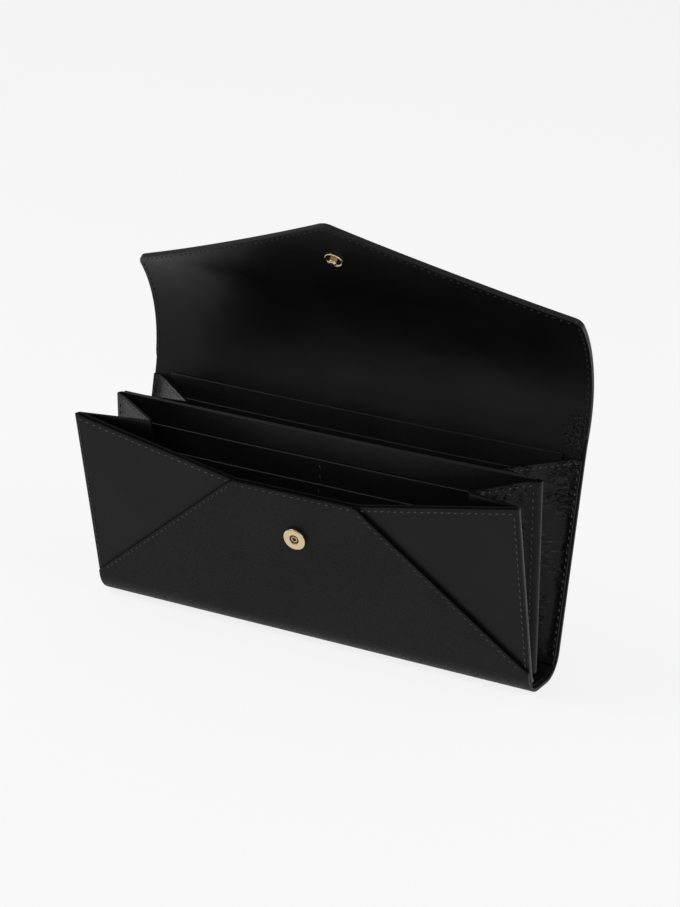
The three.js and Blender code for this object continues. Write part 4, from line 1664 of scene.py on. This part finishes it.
@dataclass
class Snap:
    """The brass press snap: socket with its ring spring and eyelet in front, stud and cap on the flap."""

    lining: Lining
    sizes: WalletSizes
    axis_hair: float = 0.004
    socket_radius: float = 4.9
    socket_thickness: float = 1.9
    socket_bore: float = 2.0
    bore_depth: float = 0.95
    spring_wire: float = 0.26
    spring_radius: float = 1.15
    barrel: float = 1.4
    backing_radius: float = 4.4
    backing_thickness: float = 0.6
    flange_radius: float = 4.0
    flange_rim: float = 0.75
    dish_depth: float = 0.4
    post_radius: float = 1.75
    post_height: float = 1.8
    cap_radius: float = 6.0
    cap_height: float = 1.8
    cap_rim: float = 0.5

    def place(self, way: float, depth: float) -> tuple[np.ndarray, np.ndarray]:
        """Give a point in the middle of the wallet and the leather's outward direction there."""
        body = self.lining.body
        seat = body.surface(np.array(0.0), np.array(way), depth)
        out = seat - body.surface(np.array(0.0), np.array(way), depth + 1.0)
        return seat, out

    def socket(self) -> list[TurnedPart]:
        """Make the socket, its spring and its eyelet on the front."""
        s = self.sizes
        way = -s.front_arc - s.front_rise(s.socket_height)
        seat, out = self.place(way, 0.0)
        hair, top = self.axis_hair, self.socket_thickness
        floor = top - self.bore_depth
        socket = [
            (hair, 0.0, 0.0), (self.socket_radius, 0.0, 0.4), (self.socket_radius, top - 0.35, 0.0),
            (self.socket_radius - 0.55, top, 0.0), (self.socket_bore + 0.35, top - 0.12, 0.0),
            (self.socket_bore, top - 0.4, 0.35), (self.socket_bore, floor, 1.0), (hair, floor, 1.0),
        ]
        turn = np.linspace(0, 2 * math.pi, 13)
        ring = self.spring_radius
        height = floor + self.spring_wire
        wire = [
            (ring + self.spring_wire * math.cos(a), height + self.spring_wire * math.sin(a), 0.1) for a in turn
        ]
        stack = s.outer_leather + s.bellows_leather + s.lining_leather + 2 * s.layer_gap
        back = -stack - self.backing_thickness
        eyelet = [
            (hair, back, 0.0), (self.backing_radius, back, 0.0), (self.backing_radius, -stack, 0.0),
            (self.barrel, -stack, 0.0), (self.barrel, 0.0, 0.0), (hair, 0.0, 0.0),
        ]
        return [
            TurnedPart("snap_socket", socket, seat, out, "body"),
            TurnedPart("snap_socket_spring", wire, seat, out, "body", closed=True),
            TurnedPart("snap_socket_eyelet", eyelet, seat, out, "body"),
        ]

    def stud(self) -> list[TurnedPart]:
        """Make the stud on the flap's lining and the cap on its outer face."""
        s = self.sizes
        way = float(self.lining.flap_end(np.array([0.0]))[0]) - s.stud_from_point
        stack = s.outer_leather + s.lining_leather
        inner, inner_out = self.place(way, stack + self.lining.FLAP_GAP)
        outer, outer_out = self.place(way, 0.0)
        hair, rim, dish = self.axis_hair, self.flange_rim, self.flange_rim - self.dish_depth
        post, top = self.post_radius, self.flange_rim + self.post_height
        stud = [
            (hair, -0.05, 0.0), (self.flange_radius, -0.05, 0.3), (self.flange_radius, rim - 0.2, 0.0),
            (self.flange_radius - 0.4, rim, 0.0), (self.flange_radius - 0.95, dish, 0.35),
            (post - 0.1, dish, 0.6), (post - 0.25, rim + 0.3, 0.25), (post, rim + 0.9, 0.0),
            (post, top - 0.6, 0.0), (post - 0.45, top, 0.0), (hair, top + 0.05, 0.0),
        ]
        rise = np.linspace(0, math.pi / 2, 9)
        crown = self.cap_height - self.cap_rim
        dome = [
            (self.cap_radius * math.cos(a) + hair, self.cap_rim + crown * math.sin(a), 0.0) for a in rise
        ]
        cap = [(hair, -0.05, 0.0), (self.cap_radius, -0.05, 0.0), *dome]
        return [
            TurnedPart("snap_stud", stud, inner, -inner_out, "flap"),
            TurnedPart("snap_cap", cap, outer, outer_out, "flap"),
        ]

    def build(self, finishes: "Materials") -> list[bpy.types.Object]:
        """Make every part of the snap."""
        return [part.build(finishes.brass) for part in [*self.socket(), *self.stud()]]


@dataclass(frozen=True)
class Materials:
    """The made materials."""

    shell: bpy.types.Material
    bellows: bpy.types.Material
    lining: bpy.types.Material
    pocket: bpy.types.Material
    edge: bpy.types.Material
    hem: bpy.types.Material
    thread: bpy.types.Material
    seam_thread: bpy.types.Material
    lining_thread: bpy.types.Material
    brass: bpy.types.Material

    @classmethod
    def make(cls, finishes: Finishes) -> "Materials":
        """Build every material once."""
        return cls(**{entry.name: getattr(finishes, entry.name).material() for entry in fields(finishes)})


@dataclass(frozen=True)
class Camera:
    """The photograph's camera: place and target in millimetres, turn about the view axis, and lens."""

    place: tuple[float, float, float] = (471.7, -931.7, 428.1)
    target: tuple[float, float, float] = (-7.8, 22.7, 71.0)
    roll: float = math.radians(3.02)
    focal_pixels: float = 2700.0
    frame_pixels: tuple[int, int] = (680, 907)
    sensor: float = 36.0
    nearest: float = 0.01

    def build(self) -> bpy.types.Object:
        """Make the camera, look at the target and turn the frame.

        Returns:
            The scene's camera.
        """
        data = bpy.data.cameras.new("photo camera")
        data.sensor_width = self.sensor
        data.lens = self.focal_pixels * self.sensor / max(self.frame_pixels)
        data.clip_start = self.nearest
        camera = bpy.data.objects.new("photo camera", data)
        place, target = Vector(self.place) * MM, Vector(self.target) * MM
        back = (place - target).normalized()
        right = Vector((0, 0, 1)).cross(back).normalized()
        up = back.cross(right)
        turned_right = right * math.cos(self.roll) + up * math.sin(self.roll)
        turned_up = up * math.cos(self.roll) - right * math.sin(self.roll)
        turn = Matrix((turned_right, turned_up, back)).transposed()
        camera.matrix_world = Matrix.Translation(place) @ turn.to_4x4()
        bpy.context.scene.collection.objects.link(camera)
        bpy.context.scene.camera = camera
        return camera


@dataclass(frozen=True)
class Lamp:
    """A softbox: where it stands, what it faces, its side lengths and its power."""

    name: str
    place: tuple[float, float, float]
    target: tuple[float, float, float]
    size: tuple[float, float]
    power: float

    def build(self) -> bpy.types.Object:
        """Make the softbox."""
        data = bpy.data.lights.new(self.name, "AREA")
        data.shape = "RECTANGLE"
        data.size, data.size_y = self.size
        data.energy = self.power
        lamp = bpy.data.objects.new(self.name, data)
        lamp.location = self.place
        facing = Vector(self.target) - Vector(self.place)
        lamp.rotation_euler = facing.to_track_quat("-Z", "Y").to_euler()
        bpy.context.scene.collection.objects.link(lamp)
        return lamp


@dataclass
class Studio:
    """Pale floor and backdrop, soft lamps and a plain world."""

    background: float = 0.93
    floor_glow: float = 0.835
    floor_bounce: float = 0.4
    floor_shade: float = 0.13
    world_light: float = 0.42
    floor_half: float = 3.0
    lamps: tuple[Lamp, ...] = (
        Lamp("key softbox", (-0.9, -0.5, 1.1), (0.0, 0.0, 0.08), (0.9, 0.7), 9.0),
        Lamp("right softbox", (1.1, -0.3, 0.8), (0.0, 0.0, 0.08), (0.5, 0.8), 5.0),
    )

    def build(self) -> None:
        """Make the floor, the lamps and the world."""
        mesh = bpy.data.meshes.new("floor")
        half = self.floor_half
        corners = [(-half, -half, 0), (half, -half, 0), (half, half, 0), (-half, half, 0)]
        mesh.from_pydata(corners, [], [(0, 1, 2, 3)])
        floor = bpy.data.objects.new("floor", mesh)
        floor.data.materials.append(self.floor_material())
        bpy.context.scene.collection.objects.link(floor)
        for lamp in self.lamps:
            lamp.build()
        self.world()
        bpy.context.scene.view_settings.view_transform = "Standard"

    def seen_ray(self, nodes: NodeWriter, glossy: bool = True) -> bpy.types.Node:
        """Give 1 where a camera or transmitted ray looks, and where a glossy one does if asked, else 0.

        Args:
            nodes: the tree being built.
            glossy: count glossy rays.

        Returns:
            The node whose first output holds the value.
        """
        path = nodes.add("ShaderNodeLightPath")
        direct = nodes.add("ShaderNodeMath", operation="MAXIMUM")
        nodes.link(path, "Is Camera Ray", direct, 0)
        nodes.link(path, "Is Transmission Ray", direct, 1)
        if not glossy:
            return direct
        every = nodes.add("ShaderNodeMath", operation="MAXIMUM")
        nodes.link(direct, 0, every, 0)
        nodes.link(path, "Is Glossy Ray", every, 1)
        return every

    def floor_material(self) -> bpy.types.Material:
        """Make a floor that looks pale and keeps the wallet's soft shadow.

        Returns:
            The material.
        """
        material = bpy.data.materials.new("pale floor")
        material.use_nodes = True
        nodes = NodeWriter(material.node_tree)
        out = nodes.add("ShaderNodeOutputMaterial")
        diffuse = nodes.add("ShaderNodeBsdfDiffuse", Color=grey(self.floor_shade))
        glow = nodes.add("ShaderNodeEmission", Color=grey(1.0))
        both = nodes.add("ShaderNodeAddShader")
        strength = nodes.add("ShaderNodeMath", operation="MULTIPLY_ADD")
        strength.inputs[1].default_value = self.floor_glow - self.floor_bounce
        strength.inputs[2].default_value = self.floor_bounce
        nodes.link(self.seen_ray(nodes), 0, strength, 0)
        nodes.link(strength, 0, glow, "Strength")
        nodes.link(diffuse, 0, both, 0)
        nodes.link(glow, 0, both, 1)
        nodes.link(both, 0, out, "Surface")
        return material

    def world(self) -> None:
        """Light the scene evenly, and show the camera a pale background."""
        world = bpy.data.worlds.new("studio")
        bpy.context.scene.world = world
        world.use_nodes = True
        nodes = NodeWriter(world.node_tree)
        out = nodes.add("ShaderNodeOutputWorld")
        light = nodes.add("ShaderNodeBackground", Color=grey(1.0), Strength=self.world_light)
        seen = nodes.add("ShaderNodeBackground", Color=grey(1.0), Strength=self.background)
        mix = nodes.add("ShaderNodeMixShader")
        nodes.link(self.seen_ray(nodes, glossy=False), 0, mix, 0)
        nodes.link(light, 0, mix, 1)
        nodes.link(seen, 0, mix, 2)
        nodes.link(mix, 0, out, "Surface")


BELLOWS_FORMS = {
    Side.LEFT: ((69.6, -27.6, 86.6), (67.5, -2.1, 88.6), (1.2, 1.2), 0.15),
    Side.RIGHT: ((74.5, -30.0, 86.2), (76.5, -2.6, 88.6), (0.0, -1.0), 1.0),
}


def main() -> None:
    """Build the wallet piece by piece, then the studio."""
    logging.basicConfig(level=logging.INFO, format="%(name)s: %(message)s")
    sizes = WalletSizes()
    finishes = Materials.make(Finishes())
    lean = math.radians
    left = FlapPose(lean(2.6), lean(-48.1), lean(-27.0))
    middle = FlapPose(lean(8.2), lean(-48.1), lean(-33.5))
    right = FlapPose(lean(13.9), lean(-47.6), lean(-27.0))
    body = WalletBody(sizes, left, middle, right)
    Camera().build()
    shell = Shell(body, sizes)
    lining = Lining(body, sizes)
    LOG.info("shell %s", shell.build(finishes).name)
    LOG.info("lining %s", lining.build(finishes).name)
    for piece in [*shell.stitches(finishes), *lining.stitches(finishes)]:
        LOG.info("stitching %s", piece.name)
    for side in Side:
        bellows = Bellows(side, sizes, *BELLOWS_FORMS[side])
        LOG.info("side panel %s", bellows.build(finishes).name)
        LOG.info("stitching %s", bellows.stitches(finishes).name)
    for piece in Pockets(sizes).build(finishes):
        LOG.info("pocket %s", piece.name)
    for piece in Snap(lining, sizes).build(finishes):
        LOG.info("snap %s", piece.name)
    Studio().build()


if __name__ == "__main__":
    main()
